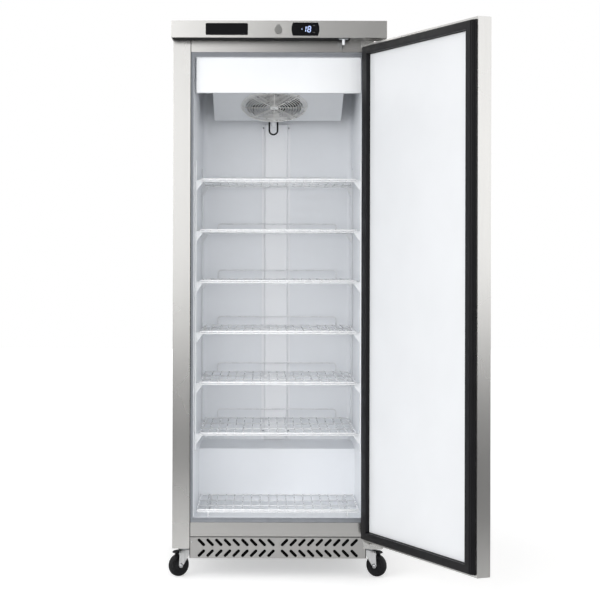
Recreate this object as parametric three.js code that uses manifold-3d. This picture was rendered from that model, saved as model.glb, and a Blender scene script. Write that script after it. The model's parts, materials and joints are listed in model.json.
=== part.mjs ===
// Upright single-door freezer on castors, door swung open. Millimetres, +Z up, the door faces -Y.
// The origin is on the floor under the middle of the cabinet body.
import * as THREE from "three";
import { mergeVertices } from "three/addons/utils/BufferGeometryUtils.js";
import Module from "manifold-3d";

const wasm = await Module();
wasm.setup();

// ---------------------------------------------------------------- driving dimensions

// cabinet body
const BODY_W = 704;
const BODY_D = 700;
const TOTAL_H = 1849;
const SHEET = 1.2; // outer steel sheet
const GAP = 0.3; // clearance between neighbouring pieces
const STILE_W = 58.5; // front flange of a side panel
const HEM = 8; // folded-back edge of the front flanges
const REAR_FLANGE = 20;
const FLANGE_H = 15;

// castors
const CASTOR_H = 100;
const WHEEL_R = 37.5;
const WHEEL_W = 22;
const TRAIL = 22;
const CASTOR_INSET_X = 37; // kingpin, in from the body's side
const CASTOR_INSET_Y = 62; // kingpin, in from the body's front or back
const FRONT_SWIVEL = 38; // degrees, how far the front wheels are turned outwards

// front opening and insulated box
const HEADER_H = 57.7; // rail over the opening
const SILL_H = 47; // rail under the opening
const SILL_Z = 40.7; // its bottom over the castors
const BREAKER_SIDE = 9.2; // width of the breaker strip at the sides
const BREAKER_END = 14.5; // and at the top and bottom
const BREAKER_D = 10;
const LINER_T = 2;
const BACK_WALL = 80; // the liner's back wall to the body's back
const LINER_DRAFT_D = 40; // depth of the steeper draft behind the opening
const LINER_DRAFT = 4; // each side wall comes in this much there
const LINER_TAPER = 8; // and this much at the back wall
const LINER_CORNER_R = 20;
const BAY_D = 312; // the step's face to the body's back
const STEP_H = 187; // step top at its front, above the liner's floor
const STEP_FALL = 9; // the step's top rises this much to the back wall
const INSULATION = 55; // foam between the liner and the machine bay

// canopy
const CANOPY_SIDE = 3; // past the body on each side
const CANOPY_H = 56;
const CANOPY_RISE = 37; // over the roof
const CANOPY_T = 1.5;
const CANOPY_OVERHANG = 73; // in front of the body
const CANOPY_FOOT_D = 90; // on the roof

// canopy fittings, x from the middle
const BADGE_X = -172;
const BADGE_W = 139;
const BADGE_H = 39;
const CONTROLLER_X = 86.5;
const CONTROLLER_W = 92;
const CONTROLLER_H = 42.5;
const CONTROLLER_CASE_W = 76;
const CONTROLLER_CASE_H = 34;
const CONTROLLER_CASE_D = 52;
const LOCK_X = -2.6;
const LOCK_BARREL_R = 7;
const LOCK_FLANGE_R = 13;
const LOCK_CAM_L = 47;
const LOCK_DEPTH = 19; // canopy front to the cam
const SWITCH_X = 213;
const SWITCH_Y = 23; // behind the canopy's front
const SWITCH_FLANGE_W = 30;
const SWITCH_FLANGE_T = 2.3;
const PLUNGER_R = 5;
const PLUNGER_DIP = 3; // tip below the door's top edge
const PLUNGER_TRAVEL = 7;

// door
const DOOR_UNDER_CANOPY = 18; // gap over the door
const DOOR_BELOW_OPENING = 55; // the door's bottom under the breaker strip's
const DOOR_SHELL_D = 45.5;
const DOOR_OPEN = 114.6; // degrees
const GASKET_H = 21;
const GASKET_INSET = 8; // gasket's foot to the door's edge
const GASKET_CLOSED_GAP = 0.5; // gasket to the front frame with the door shut
const PANEL_INSET = 37.5; // inner panel to the door's edges
const PANEL_HINGE_INSET = 53; // and on the hinge side
const INNER_PANEL_H = 6.5; // the inner panel stands proud of the shell's back edge
const HINGE_IN = 30; // pin axis, in from the door's hinge edge
const HINGE_BACK = 16; // and behind the door's face
const HINGE_PIN_R = 5;
const HINGE_PIN_L = 18;
const HINGE_PLATE_T = 4;
const RUNNING = 0.1; // radial running clearance of pins

// evaporator
const COVER_SIDE = 9; // cover to the opening's sides
const COVER_H = 118;
const COVER_Y = 18; // behind the body's front
const COVER_RETURN = 25; // depth of its folded edges
const PAN_SIDE = 56.5; // pan to the opening's sides
const PAN_BACK = 30; // pan to the liner's back wall
const PAN_TRAY_D = 154; // the pan's low edge to its back
const PAN_EDGE_DROP = 175.3; // the low edge under the liner's ceiling
const PAN_TILT = 21; // degrees
const PAN_FRONT_Y = 100;
const PAN_LIP = 14;
const FAN_X = -13;
const FAN_FROM_EDGE = 110; // fan's centre to the pan's low edge
const FAN_R = 98;
const FAN_BLADES = 5;
const FAN_MOTOR_R = 40;
const FAN_MOTOR_H = 44;
const GUARD_R = 118;
const GUARD_RINGS = 5;
const GUARD_RIBS = 8;
const GUARD_WIRE = 2.6;
const GUARD_STAND_OFF = 9;
const COIL_FINS = 12;
const COIL_D = 120;
const COIL_H = 118;
const COIL_FRONT = 18; // behind the pan's low edge
const COIL_SIDE = 34; // fins to the pan's cheeks
const DUCT_X = -4;
const DUCT_W = 85;
const DUCT_D = 14;
const DUCT_FLANGE = 10;
const DUCT_T = 2;
const DUCT_OUTLET_H = 22;
const DRAIN_R = 3;
const DRAIN_LOOP_R = 15;
const DRAIN_DROP = 38;
const DRAIN_X = -15; // middle of the hose's loop
const DRAIN_BACK = 60; // behind the pan's low edge

// shelves
const SHELF_SIDE = 19; // shelf to the opening's sides
const SHELF_Y = 45; // front of the body to the shelf's front
const SHELF_BACK = 30; // shelf to the liner's back wall
const SHELF_COUNT = 6;
const SHELF_OVER_STEP = 84.5; // lowest hung shelf over the step's back
const SHELF_UNDER_CEILING = 403; // highest shelf under the liner's ceiling
const SHELF_FRAME = 6;
const SHELF_WIRE = 4;
const BAR_DROP = 4; // thickness of the cross bars under the wires
const FRONT_WIRE_GAP = 3; // front rail to the wire under it
const SHELF_WIRES = 17;
const UPSTAND_IN = 45; // its ends, in from the shelf's sides
const UPSTAND_H = 32;
const RAIL_W = 22; // pilaster on the liner's wall
const RAIL_T = 4;
const RAIL_BELOW = 55; // under the lowest hung shelf
const RAIL_ABOVE = 60; // over the highest
const RAIL_FRONT_Y = 62;
const RAIL_BACK_IN = 42; // rear pilaster, in from the shelf's back
const CLIP_H = 40;
const CLIP_OVERLAP = 12;
const CLIP_T = 12;
const RACK_SIDE = 11.5; // rack to the opening's sides
const RACK_Y = 20;
const RACK_BACK = 5; // rack to the step
const RACK_H = 26;
const RACK_LEG_IN = 37.5; // inner legs, in from the rack's sides

// kick panel
const KICK_H = 70;
const KICK_GAP = 2.7; // under the sill rail
const KICK_RETURN = 15; // depth of the bottom flange
const CASTOR_CLEAR = 71; // the bottom flange stops this far from the kingpins
const SLOT_R = 4.2;
const SLOT_L = 24; // between the centres of a slot's round ends
const SLOT_PITCH = 29;
const SLOT_FIRST_X = 22.5;
const SLOT_MARGIN = 30; // last slot's middle to the panel's end, at least
const SLOT_ROW_PITCH = 36;

// machine bay
const COMPRESSOR_R = 78;
const COMPRESSOR_H = 165;
const COMPRESSOR_IN = 187; // its axis, in from the body's side
const COMPRESSOR_FROM_BACK = 118;
const COMPRESSOR_BASE_W = 184;
const COMPRESSOR_BASE_D = 124;
const TERMINAL_W = 52;
const TERMINAL_H = 50;
const FEET_H = 14;
const CONDENSER_IN = 177; // its middle, in from the body's side
const CONDENSER_GAP = 12; // to the bay's front wall
const CONDENSER_MOTOR_R = 32;
const CONDENSER_MOTOR_L = 41;
const CONDENSER_W = 250;
const CONDENSER_D = 66;
const CONDENSER_H = 200;
const CONDENSER_FINS = 11;
const CONDENSER_FAN_R = 88;
const SHROUD_D = 34;
const TRAY_W = 150;
const TRAY_D = 100;
const TRAY_H = 24;
const TRAY_FROM_COMPRESSOR = 185; // middle to middle
const DRIER_R = 10;
const DRIER_L = 90;
const PIPE_R = 3;
const GRILLE_SLOT_W = 130;
const GRILLE_SLOT_H = 8;
const GRILLE_ROWS = 5;
const GRILLE_COLUMNS = 3;
const GRILLE_BLANK = 120; // plain part beside the slots, for the lead's bush
const GLAND_R = 9;

// ---------------------------------------------------------------- places worked out from them

const FRONT = -BODY_D / 2;
const BACK = BODY_D / 2;
const SIDE = BODY_W / 2;
const BODY_TOP = TOTAL_H - CANOPY_RISE;
const STILE_IN = SIDE - STILE_W;
const FRAME_X = STILE_IN - GAP; // outside of the breaker strip
const SILL_BOTTOM = CASTOR_H + SILL_Z;
const FRAME_BOTTOM = SILL_BOTTOM + SILL_H + GAP;
const FRAME_TOP = BODY_TOP - HEADER_H - GAP;
const OPENING_X = FRAME_X - BREAKER_SIDE;
const OPENING_Z = FRAME_BOTTOM + BREAKER_END;
const OPENING_TOP = FRAME_TOP - BREAKER_END;
const LINER_D = BODY_D - BACK_WALL; // front of the body to the liner's back wall
const LINER_FRONT = FRONT + BREAKER_D + GAP;
const LINER_BACK = FRONT + LINER_D;
const STEP_FRONT = BACK - BAY_D;
const STEP_TOP = OPENING_Z + STEP_H;
const BAY_FRONT = STEP_FRONT + LINER_T + INSULATION;
const BAY_TOP = STEP_TOP - LINER_T - INSULATION;
const SKIN = SHEET + GAP + SHEET + GAP; // a side sheet and a flange behind it
const CANOPY_FRONT = FRONT - CANOPY_OVERHANG;
const CANOPY_BOTTOM = TOTAL_H - CANOPY_H;
const CANOPY_MID_Z = TOTAL_H - CANOPY_H / 2;
const DOOR_BACK = FRONT - GASKET_CLOSED_GAP - GASKET_H;
const DOOR_FRONT = DOOR_BACK - DOOR_SHELL_D;
const DOOR_TOP = CANOPY_BOTTOM - DOOR_UNDER_CANOPY;
const DOOR_Z = FRAME_BOTTOM - DOOR_BELOW_OPENING;
const HINGE_X = SIDE - HINGE_IN;
const HINGE_Y = DOOR_FRONT + HINGE_BACK;
const LOCK_Z = CANOPY_MID_Z - 2;
const SWITCH_FLANGE_Z = CANOPY_BOTTOM - GAP - SWITCH_FLANGE_T;
const PLUNGER_OUT = SWITCH_FLANGE_Z - DOOR_TOP + PLUNGER_DIP;
const CAM_Y = CANOPY_FRONT + LOCK_DEPTH;
const FLOOR_TOP = CASTOR_H + 2 * SHEET; // top of the base pan's sheet

const radians = THREE.MathUtils.degToRad;

// half width of the liner's inside at a distance behind the body's front
function linerHalf(depth) {
  const near = BREAKER_D + GAP;
  if (depth < LINER_DRAFT_D) {
    const t = (depth - near) / (LINER_DRAFT_D - near);
    return OPENING_X - LINER_DRAFT * t;
  }
  const t = (depth - LINER_DRAFT_D) / (LINER_D - LINER_DRAFT_D);
  return OPENING_X - LINER_DRAFT - (LINER_TAPER - LINER_DRAFT) * t;
}

// ---------------------------------------------------------------- materials

function material(colour, roughness, metalness) {
  return new THREE.MeshStandardMaterial({ color: colour, roughness, metalness });
}

const STAINLESS = material(0xb9b8b4, 0.35, 1);
const GALVANISED = material(0xa6a9ab, 0.5, 1);
const ZINC = material(0xc2c4c6, 0.3, 1);
const WHITE_COAT = material(0xf2f4f6, 0.35, 0);
const WHITE_PLASTIC = material(0xe9ebee, 0.4, 0);
const GREY_PLASTIC = material(0x80878a, 0.5, 0);
const FOAM = material(0xe6d9a8, 0.9, 0);
const BLACK_PLASTIC = material(0x16171a, 0.3, 0);
const BLACK_RUBBER = material(0x1b1c1e, 0.75, 0);
const GUARD_STEEL = material(0xb4b5b1, 0.35, 0.9);
const COPPER = material(0xb87549, 0.35, 1);
const BLACK_PAINT = material(0x1c1d1f, 0.45, 0.2);

// ---------------------------------------------------------------- solids

const freezer = new THREE.Group();

function add(name, shape, finish, parent = freezer) {
  const geometry = shape instanceof wasm.Manifold ? geometryOf(shape) : shape;
  const mesh = new THREE.Mesh(geometry, finish);
  mesh.name = name;
  parent.add(mesh);
  return mesh;
}

function solidOf(geometry) {
  const bare = new THREE.BufferGeometry();
  bare.setAttribute("position", geometry.getAttribute("position"));
  bare.setIndex(geometry.index);
  const merged = mergeVertices(bare, 1e-3);
  const triVerts = new Uint32Array(merged.index.array);
  const vertProperties = new Float32Array(merged.getAttribute("position").array);
  return new wasm.Manifold(new wasm.Mesh({ numProp: 3, vertProperties, triVerts }));
}

function geometryOf(solid) {
  const { numProp, vertProperties, triVerts } = solid.getMesh();
  const position = new Float32Array((vertProperties.length / numProp) * 3);
  for (let i = 0; i < position.length / 3; i++) {
    position.set(vertProperties.subarray(i * numProp, i * numProp + 3), i * 3);
  }
  const geometry = new THREE.BufferGeometry();
  geometry.setAttribute("position", new THREE.BufferAttribute(position, 3));
  geometry.setIndex(new THREE.BufferAttribute(new Uint32Array(triVerts), 1));
  geometry.computeVertexNormals();
  return geometry;
}

function join(...pieces) {
  return pieces.map(asSolid).reduce((whole, piece) => whole.add(piece));
}

function cut(body, ...tools) {
  return tools.map(asSolid).reduce((rest, tool) => rest.subtract(tool), asSolid(body));
}

function asSolid(shape) {
  return shape instanceof wasm.Manifold ? shape : solidOf(shape);
}

// a box from its lowest to its highest corner
function box(x0, x1, y0, y1, z0, z1) {
  const geometry = new THREE.BoxGeometry(x1 - x0, y1 - y0, z1 - z0);
  return geometry.translate((x0 + x1) / 2, (y0 + y1) / 2, (z0 + z1) / 2);
}

function outline(points) {
  return new THREE.Shape(points.map(([x, y]) => new THREE.Vector2(x, y)));
}

function extrude(shape, length, curveSegments = 4) {
  return new THREE.ExtrudeGeometry(shape, { depth: length, bevelEnabled: false, curveSegments });
}

// an outline in X and Y, raised from z0 to z1
function raised(shape, z0, z1, curveSegments) {
  return extrude(shape, z1 - z0, curveSegments).translate(0, 0, z0);
}

// an outline in Y and Z, run across from x0 to x1
function across(shape, x0, x1, curveSegments) {
  const turn = new THREE.Matrix4().set(0, 0, 1, x0, 1, 0, 0, 0, 0, 1, 0, 0, 0, 0, 0, 1);
  return extrude(shape, x1 - x0, curveSegments).applyMatrix4(turn);
}

// an outline in X and Z, run back from y0 to y1
function backwards(shape, y0, y1, curveSegments) {
  const turn = new THREE.Matrix4().makeRotationX(Math.PI / 2);
  return extrude(shape, y1 - y0, curveSegments).applyMatrix4(turn).translate(0, y1, 0);
}

// a profile of [radius, height] points turned about Z
function turned(points, segments) {
  const profile = points.map(([r, z]) => new THREE.Vector2(r, z));
  return new THREE.LatheGeometry(profile, segments).rotateX(Math.PI / 2);
}

function cylinder(radius, z0, z1, segments = 16) {
  const geometry = new THREE.CylinderGeometry(radius, radius, z1 - z0, segments);
  return geometry.rotateX(Math.PI / 2).translate(0, 0, (z0 + z1) / 2);
}

// a round hole's cutter, big enough at its flats for a turning pin of the radius
function bore(radius, z0, z1, segments = 16) {
  return cylinder((radius + RUNNING) / Math.cos(Math.PI / segments), z0, z1, segments);
}

// a round bar along Y
function bar(radius, y0, y1, segments = 16) {
  return cylinder(radius, y0, y1, segments).rotateX(-Math.PI / 2);
}

function roundedRectangle(x, y, width, height, r) {
  const shape = new THREE.Shape();
  const [x0, x1, y0, y1] = [x - width / 2, x + width / 2, y - height / 2, y + height / 2];
  shape.moveTo(x0 + r, y0);
  shape.lineTo(x1 - r, y0);
  shape.absarc(x1 - r, y0 + r, r, -Math.PI / 2, 0);
  shape.lineTo(x1, y1 - r);
  shape.absarc(x1 - r, y1 - r, r, 0, Math.PI / 2);
  shape.lineTo(x0 + r, y1);
  shape.absarc(x0 + r, y1 - r, r, Math.PI / 2, Math.PI);
  shape.lineTo(x0, y0 + r);
  shape.absarc(x0 + r, y0 + r, r, Math.PI, 1.5 * Math.PI);
  return shape;
}

// a tube of a many-sided section along a curve
function tube(curve, radius, sides, steps) {
  const section = new THREE.Shape();
  for (let i = 0; i < sides; i++) {
    const a = (2 * Math.PI * i) / sides;
    const [x, y] = [radius * Math.cos(a), radius * Math.sin(a)];
    if (i) section.lineTo(x, y);
    else section.moveTo(x, y);
  }
  return new THREE.ExtrudeGeometry(section, { steps, extrudePath: curve, bevelEnabled: false });
}

// a mitred frame in the XZ plane: each point of the section is [left inset, right inset, end inset, y]
function mitredFrame(section, x0, x1, z0, z1) {
  const position = [];
  for (const [left, right, end, y] of section) {
    position.push(x0 + left, y, z0 + end, x1 - right, y, z0 + end);
    position.push(x1 - right, y, z1 - end, x0 + left, y, z1 - end);
  }
  const index = [];
  for (let i = 0; i < section.length; i++) {
    const j = (i + 1) % section.length;
    for (let k = 0; k < 4; k++) {
      const l = (k + 1) % 4;
      index.push(4 * i + k, 4 * j + k, 4 * j + l, 4 * i + k, 4 * j + l, 4 * i + l);
    }
  }
  const geometry = new THREE.BufferGeometry();
  geometry.setAttribute("position", new THREE.BufferAttribute(new Float32Array(position), 3));
  geometry.setIndex(index);
  return geometry;
}

// ---------------------------------------------------------------- outer body

// side sheet with its front stile, hemmed towards the opening, and its rear flange
function sidePanel(sign) {
  const at = (x, y) => [sign * x, y];
  const points = [
    at(SIDE, FRONT), at(STILE_IN, FRONT), at(STILE_IN, FRONT + HEM), at(STILE_IN + SHEET, FRONT + HEM),
    at(STILE_IN + SHEET, FRONT + SHEET), at(SIDE - SHEET, FRONT + SHEET), at(SIDE - SHEET, BACK - SHEET),
    at(SIDE - REAR_FLANGE, BACK - SHEET), at(SIDE - REAR_FLANGE, BACK), at(SIDE, BACK),
  ];
  return raised(outline(points), CASTOR_H, BODY_TOP);
}

add("side_panel_left", sidePanel(-1), STAINLESS);
add("side_panel_right", sidePanel(1), STAINLESS);

// roof sheet with turned-down edges, between the side panels, joggled down under the canopy's foot
const JOGGLE = SHEET + GAP;
const JOGGLE_CLEAR = 3; // behind the canopy
function topPanel() {
  const x = SIDE - SHEET - GAP;
  const [y0, y1] = [FRONT + HEM + GAP, BACK - SHEET - GAP];
  const z0 = BODY_TOP - FLANGE_H;
  const joggleY = FRONT + CANOPY_FOOT_D + JOGGLE_CLEAR;
  const profile = (t) => outline([
    [y0 + t, z0 - t], [y1 - t, z0 - t], [y1 - t, BODY_TOP - t],
    [joggleY + t, BODY_TOP - t], [joggleY + t, BODY_TOP - JOGGLE - t], [y0 + t, BODY_TOP - JOGGLE - t],
  ]);
  return cut(across(profile(0), -x, x), across(profile(SHEET), -x + SHEET, x - SHEET));
}
add("top_panel", topPanel(), GALVANISED);

// back sheet above the machine bay, inside the side panels' rear flanges
const BACK_SHEET_Y = BACK - SHEET - GAP - SHEET;
const BACK_PANEL_TOP = BODY_TOP - FLANGE_H - GAP;
const BACK_PANEL_X = SIDE - SHEET - GAP;
const backPanel = box(
  -BACK_PANEL_X, BACK_PANEL_X, BACK_SHEET_Y, BACK_SHEET_Y + SHEET, BAY_TOP, BACK_PANEL_TOP,
);
add("back_panel", backPanel, GALVANISED);

// front rails over and under the opening: a face with a hem towards the opening
function frontRail(z0, z1, hemAtBottom) {
  const x = STILE_IN - GAP;
  const edge = hemAtBottom ? z0 : z1;
  const inner = hemAtBottom ? z0 + SHEET : z1 - SHEET;
  const far = hemAtBottom ? z1 : z0;
  const points = [
    [FRONT, edge], [FRONT + HEM, edge], [FRONT + HEM, inner],
    [FRONT + SHEET, inner], [FRONT + SHEET, far], [FRONT, far],
  ];
  return across(outline(points), -x, x);
}
add("header_rail", frontRail(FRAME_TOP + GAP, BODY_TOP, true), STAINLESS);
add("sill_rail", frontRail(SILL_BOTTOM, FRAME_BOTTOM - GAP, false), STAINLESS);

// base pan with upturned edges; each castor's bolted plate, ball race and kingpin belong to it
const RACE_R = 21;
const RACE_H = 9;
const PLATE_T = 3.5;
const CASTOR_PLATE_W = 66;
const CASTOR_PLATE_L = 76;
const KINGPIN_R = 5;
const CROWN_TOP = CASTOR_H - PLATE_T - RACE_H - GAP;
const CROWN_T = 5;
const CASTOR_X = SIDE - CASTOR_INSET_X;
const CASTOR_Y = BODY_D / 2 - CASTOR_INSET_Y;

function basePan() {
  const x = SIDE - SHEET - GAP;
  const [y0, y1] = [FRONT + HEM + GAP, BACK - SHEET - GAP];
  const [z0, z1] = [CASTOR_H + GAP, CASTOR_H + FLANGE_H];
  const floor = z0 + SHEET;
  const inside = box(-x + SHEET, x - SHEET, y0 + SHEET, y1 - SHEET, floor, z1 + 1);
  let pan = cut(box(-x, x, y0, y1, z0, z1), inside);
  for (const [cx, cy] of [[-1, -1], [1, -1], [-1, 1], [1, 1]]) {
    const plate = box(
      -CASTOR_PLATE_W / 2, CASTOR_PLATE_W / 2, -CASTOR_PLATE_L / 2, CASTOR_PLATE_L / 2,
      CASTOR_H - PLATE_T, floor,
    );
    const low = CROWN_TOP + GAP;
    const raceSection = [[0, low], [RACE_R - 3, low], [RACE_R, low + 3], [RACE_R, CASTOR_H], [0, CASTOR_H]];
    const race = turned(raceSection, 10);
    const kingpin = cylinder(KINGPIN_R, CROWN_TOP - CROWN_T - 1, CASTOR_H, 8);
    pan = join(pan, ...[plate, race, kingpin].map((g) => g.translate(cx * CASTOR_X, cy * CASTOR_Y, 0)));
  }
  return pan;
}
add("base_pan", basePan(), GALVANISED);

// ---------------------------------------------------------------- insulated box

// grey plastic strip between the outer skin and the liner, with a raised bead on its face
const BEAD = 1.5;
const breakerSection = [
  [1, FRONT + BREAKER_D], [1, FRONT], [0.65, FRONT], [0.5, FRONT + BEAD], [0.35, FRONT],
  [0, FRONT], [0, FRONT + BREAKER_D],
].map(([part, y]) => [part * BREAKER_SIDE, part * BREAKER_SIDE, part * BREAKER_END, y]);
add("breaker_strip", mitredFrame(breakerSection, -FRAME_X, FRAME_X, FRAME_BOTTOM, FRAME_TOP), GREY_PLASTIC);

// the liner's space, grown outwards by an offset, open at the front
function linerSpace(offset, front) {
  const back = LINER_BACK + offset;
  const half = OPENING_X - LINER_TAPER + offset;
  const r = LINER_CORNER_R + offset;
  const draft = OPENING_X - LINER_DRAFT + offset;
  const shape = new THREE.Shape();
  shape.moveTo(-OPENING_X - offset, front);
  shape.lineTo(OPENING_X + offset, front);
  shape.lineTo(draft, FRONT + LINER_DRAFT_D);
  shape.absarc(half - r, back - r, r, 0, Math.PI / 2);
  shape.absarc(-half + r, back - r, r, Math.PI / 2, Math.PI);
  shape.lineTo(-draft, FRONT + LINER_DRAFT_D);
  const space = raised(shape, OPENING_Z - offset, OPENING_TOP + offset, 4);
  const low = OPENING_Z - offset - 10;
  const step = outline([
    [STEP_FRONT + offset, low], [back + 10, low],
    [back + 10, STEP_TOP + STEP_FALL - offset], [STEP_FRONT + offset, STEP_TOP - offset],
  ]);
  return cut(space, across(step, -SIDE, SIDE));
}
const liner = cut(linerSpace(LINER_T, LINER_FRONT), linerSpace(0, LINER_FRONT - 1));
add("liner", liner, WHITE_PLASTIC);

function insulation() {
  const x = SIDE - SKIN;
  const front = FRONT + HEM + GAP;
  const block = box(-x, x, front, BACK_SHEET_Y - GAP, SILL_BOTTOM, BODY_TOP - SKIN);
  const roofFlange = FLANGE_H + GAP;
  const roof = cut(
    box(-SIDE, SIDE, FRONT, BACK, BODY_TOP - roofFlange, BODY_TOP),
    box(-x, x, front + SHEET + GAP, BACK_SHEET_Y - SKIN, BODY_TOP - roofFlange - 1, BODY_TOP + 1),
  );
  const bay = box(-SIDE, SIDE, BAY_FRONT, BACK, 0, BAY_TOP);
  const frame = box(-FRAME_X, FRAME_X, FRONT, LINER_FRONT, FRAME_BOTTOM, FRAME_TOP);
  return cut(block, linerSpace(LINER_T + GAP, LINER_FRONT - GAP), roof, bay, frame);
}
add("cabinet_insulation", insulation(), FOAM);

// ---------------------------------------------------------------- canopy

const LOCK_BODY_R = LOCK_BARREL_R + 2.6;
const SWITCH_CASE_W = 22;
const SWITCH_CASE_D = 13;
const SWITCH_CASE_H = 30;
const CAM_W = 9;
const CAM_T = 2.5;
const CAM_SLOT = 3; // clearance round the swinging cam
const CANOPY_CABLE_W = 60;
const CANOPY_CABLE_H = 14;
const CANOPY_CABLE_DOWN = 10; // below the canopy's top

function canopy() {
  const t = CANOPY_T;
  const [back, rear] = [FRONT - GAP, FRONT + CANOPY_FOOT_D];
  const roof = BODY_TOP + GAP;
  const outer = outline([
    [CANOPY_FRONT, CANOPY_BOTTOM], [back, CANOPY_BOTTOM], [back, roof],
    [rear, roof], [rear, TOTAL_H], [CANOPY_FRONT, TOTAL_H],
  ]);
  const inner = outline([
    [CANOPY_FRONT + t, CANOPY_BOTTOM + t], [back - t, CANOPY_BOTTOM + t], [back - t, roof + t],
    [rear - t, roof + t], [rear - t, TOTAL_H - t], [CANOPY_FRONT + t, TOTAL_H - t],
  ]);
  const x = SIDE + CANOPY_SIDE;
  const shell = cut(across(outer, -x, x), across(inner, -x + t, x - t));
  const front = CANOPY_FRONT - 1;
  const slotX = Math.sqrt(LOCK_CAM_L ** 2 - (LOCK_Z - CANOPY_BOTTOM - t) ** 2) + CAM_SLOT + CAM_W / 2;
  const controllerHole = box(
    CONTROLLER_X - CONTROLLER_CASE_W / 2 - GAP, CONTROLLER_X + CONTROLLER_CASE_W / 2 + GAP,
    front, CANOPY_FRONT + 2 * t,
    CANOPY_MID_Z - CONTROLLER_CASE_H / 2 - GAP, CANOPY_MID_Z + CONTROLLER_CASE_H / 2 + GAP,
  );
  const lockHole = bar(LOCK_BODY_R + 2 * GAP, front, CANOPY_FRONT + 2 * t, 12).translate(LOCK_X, 0, LOCK_Z);
  const camSlot = box(
    LOCK_X - slotX, LOCK_X + CAM_W / 2 + CAM_SLOT,
    CAM_Y - CAM_SLOT, CAM_Y + CAM_T + CAM_SLOT, CANOPY_BOTTOM - 1, CANOPY_BOTTOM + 2 * t,
  );
  const switchHole = box(
    SWITCH_X - SWITCH_CASE_W / 2 - GAP, SWITCH_X + SWITCH_CASE_W / 2 + GAP,
    CANOPY_FRONT + SWITCH_Y - SWITCH_CASE_D / 2 - GAP, CANOPY_FRONT + SWITCH_Y + SWITCH_CASE_D / 2 + GAP,
    CANOPY_BOTTOM - 1, CANOPY_BOTTOM + 2 * t,
  );
  const cableHole = box(
    -CANOPY_CABLE_W / 2, CANOPY_CABLE_W / 2, rear - 2 * t, rear + 1,
    TOTAL_H - CANOPY_CABLE_DOWN - CANOPY_CABLE_H, TOTAL_H - CANOPY_CABLE_DOWN,
  );
  return cut(shell, controllerHole, lockHole, camSlot, switchHole, cableHole);
}
add("canopy", canopy(), STAINLESS);

const BADGE_T = 1.5;
const badge = roundedRectangle(BADGE_X, CANOPY_MID_Z, BADGE_W, BADGE_H, 4);
const badgePlate = backwards(badge, CANOPY_FRONT - GAP - BADGE_T, CANOPY_FRONT - GAP, 3);
add("badge_plate", badgePlate, BLACK_PLASTIC);

// controller: a facia with bowed ends on a case that goes through the canopy
function controller() {
  const [half, high] = [CONTROLLER_W / 2, CONTROLLER_H / 2];
  const bow = 5;
  const facia = new THREE.Shape();
  facia.moveTo(-half + bow, -high);
  facia.lineTo(half - bow, -high);
  facia.quadraticCurveTo(half + bow, 0, half - bow, high);
  facia.lineTo(-half + bow, high);
  facia.quadraticCurveTo(-half - bow, 0, -half + bow, -high);
  const face = backwards(facia, CANOPY_FRONT - GAP - 4.5, CANOPY_FRONT - GAP, 8);
  const caseFront = CANOPY_FRONT - GAP - 1;
  const shell = box(
    -CONTROLLER_CASE_W / 2, CONTROLLER_CASE_W / 2, caseFront, caseFront + CONTROLLER_CASE_D,
    -CONTROLLER_CASE_H / 2, CONTROLLER_CASE_H / 2,
  );
  return join(face, shell);
}
const controllerMesh = add("controller", controller(), BLACK_PLASTIC);
controllerMesh.position.set(CONTROLLER_X, 0, CANOPY_MID_Z);

// lock: a housing with a round flange and a hump over it, and a barrel that carries the cam
const LOCK_NOSE = 7;
const CAM_SEAT = 2;
function lockHousing() {
  const hump = box(-6, 6, -LOCK_NOSE + 3, 0, 4, LOCK_FLANGE_R + 4);
  const flange = bar(LOCK_FLANGE_R, -LOCK_NOSE, 0, 16);
  const body = bar(LOCK_BODY_R, -1, LOCK_DEPTH - CAM_SEAT - GAP, 12);
  const hole = bore(LOCK_BARREL_R, -LOCK_NOSE - 1, LOCK_DEPTH, 12).rotateX(-Math.PI / 2);
  return cut(join(flange, hump, body), hole);
}
const lock = new THREE.Group();
lock.position.set(LOCK_X, CANOPY_FRONT - GAP, LOCK_Z);
freezer.add(lock);
add("lock_housing", lockHousing(), ZINC, lock);

function lockBarrel() {
  const core = bar(LOCK_BARREL_R, -LOCK_NOSE + 0.5, LOCK_DEPTH + GAP + CAM_T, 12);
  const keyway = box(-1, 1, -LOCK_NOSE - 1, -LOCK_NOSE + 4, -3.5, 3.5);
  const cam = new THREE.Shape();
  cam.moveTo(0, -CAM_W / 2);
  cam.lineTo(0, CAM_W / 2);
  cam.lineTo(-LOCK_CAM_L + CAM_W / 2, CAM_W / 2);
  cam.absarc(-LOCK_CAM_L + CAM_W / 2, 0, CAM_W / 2, Math.PI / 2, 1.5 * Math.PI);
  const lever = backwards(cam, LOCK_DEPTH + GAP, LOCK_DEPTH + GAP + CAM_T, 3);
  return join(cut(core, keyway), lever);
}
add("lock_barrel", lockBarrel(), ZINC, lock);

// door switch: a flanged case in the canopy's underside and a sprung plunger
const doorSwitch = new THREE.Group();
doorSwitch.position.set(SWITCH_X, CANOPY_FRONT + SWITCH_Y, SWITCH_FLANGE_Z);
freezer.add(doorSwitch);

const switchFlange = raised(
  roundedRectangle(0, 0, SWITCH_FLANGE_W, SWITCH_CASE_D + 6, 3), 0, SWITCH_FLANGE_T, 3,
);
const switchCase = box(
  -SWITCH_CASE_W / 2, SWITCH_CASE_W / 2, -SWITCH_CASE_D / 2, SWITCH_CASE_D / 2, 1, SWITCH_CASE_H,
);
const switchBore = bore(PLUNGER_R, -1, SWITCH_CASE_H - 3, 12);
add("door_switch_case", cut(join(switchFlange, switchCase), switchBore), GREY_PLASTIC, doorSwitch);

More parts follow.
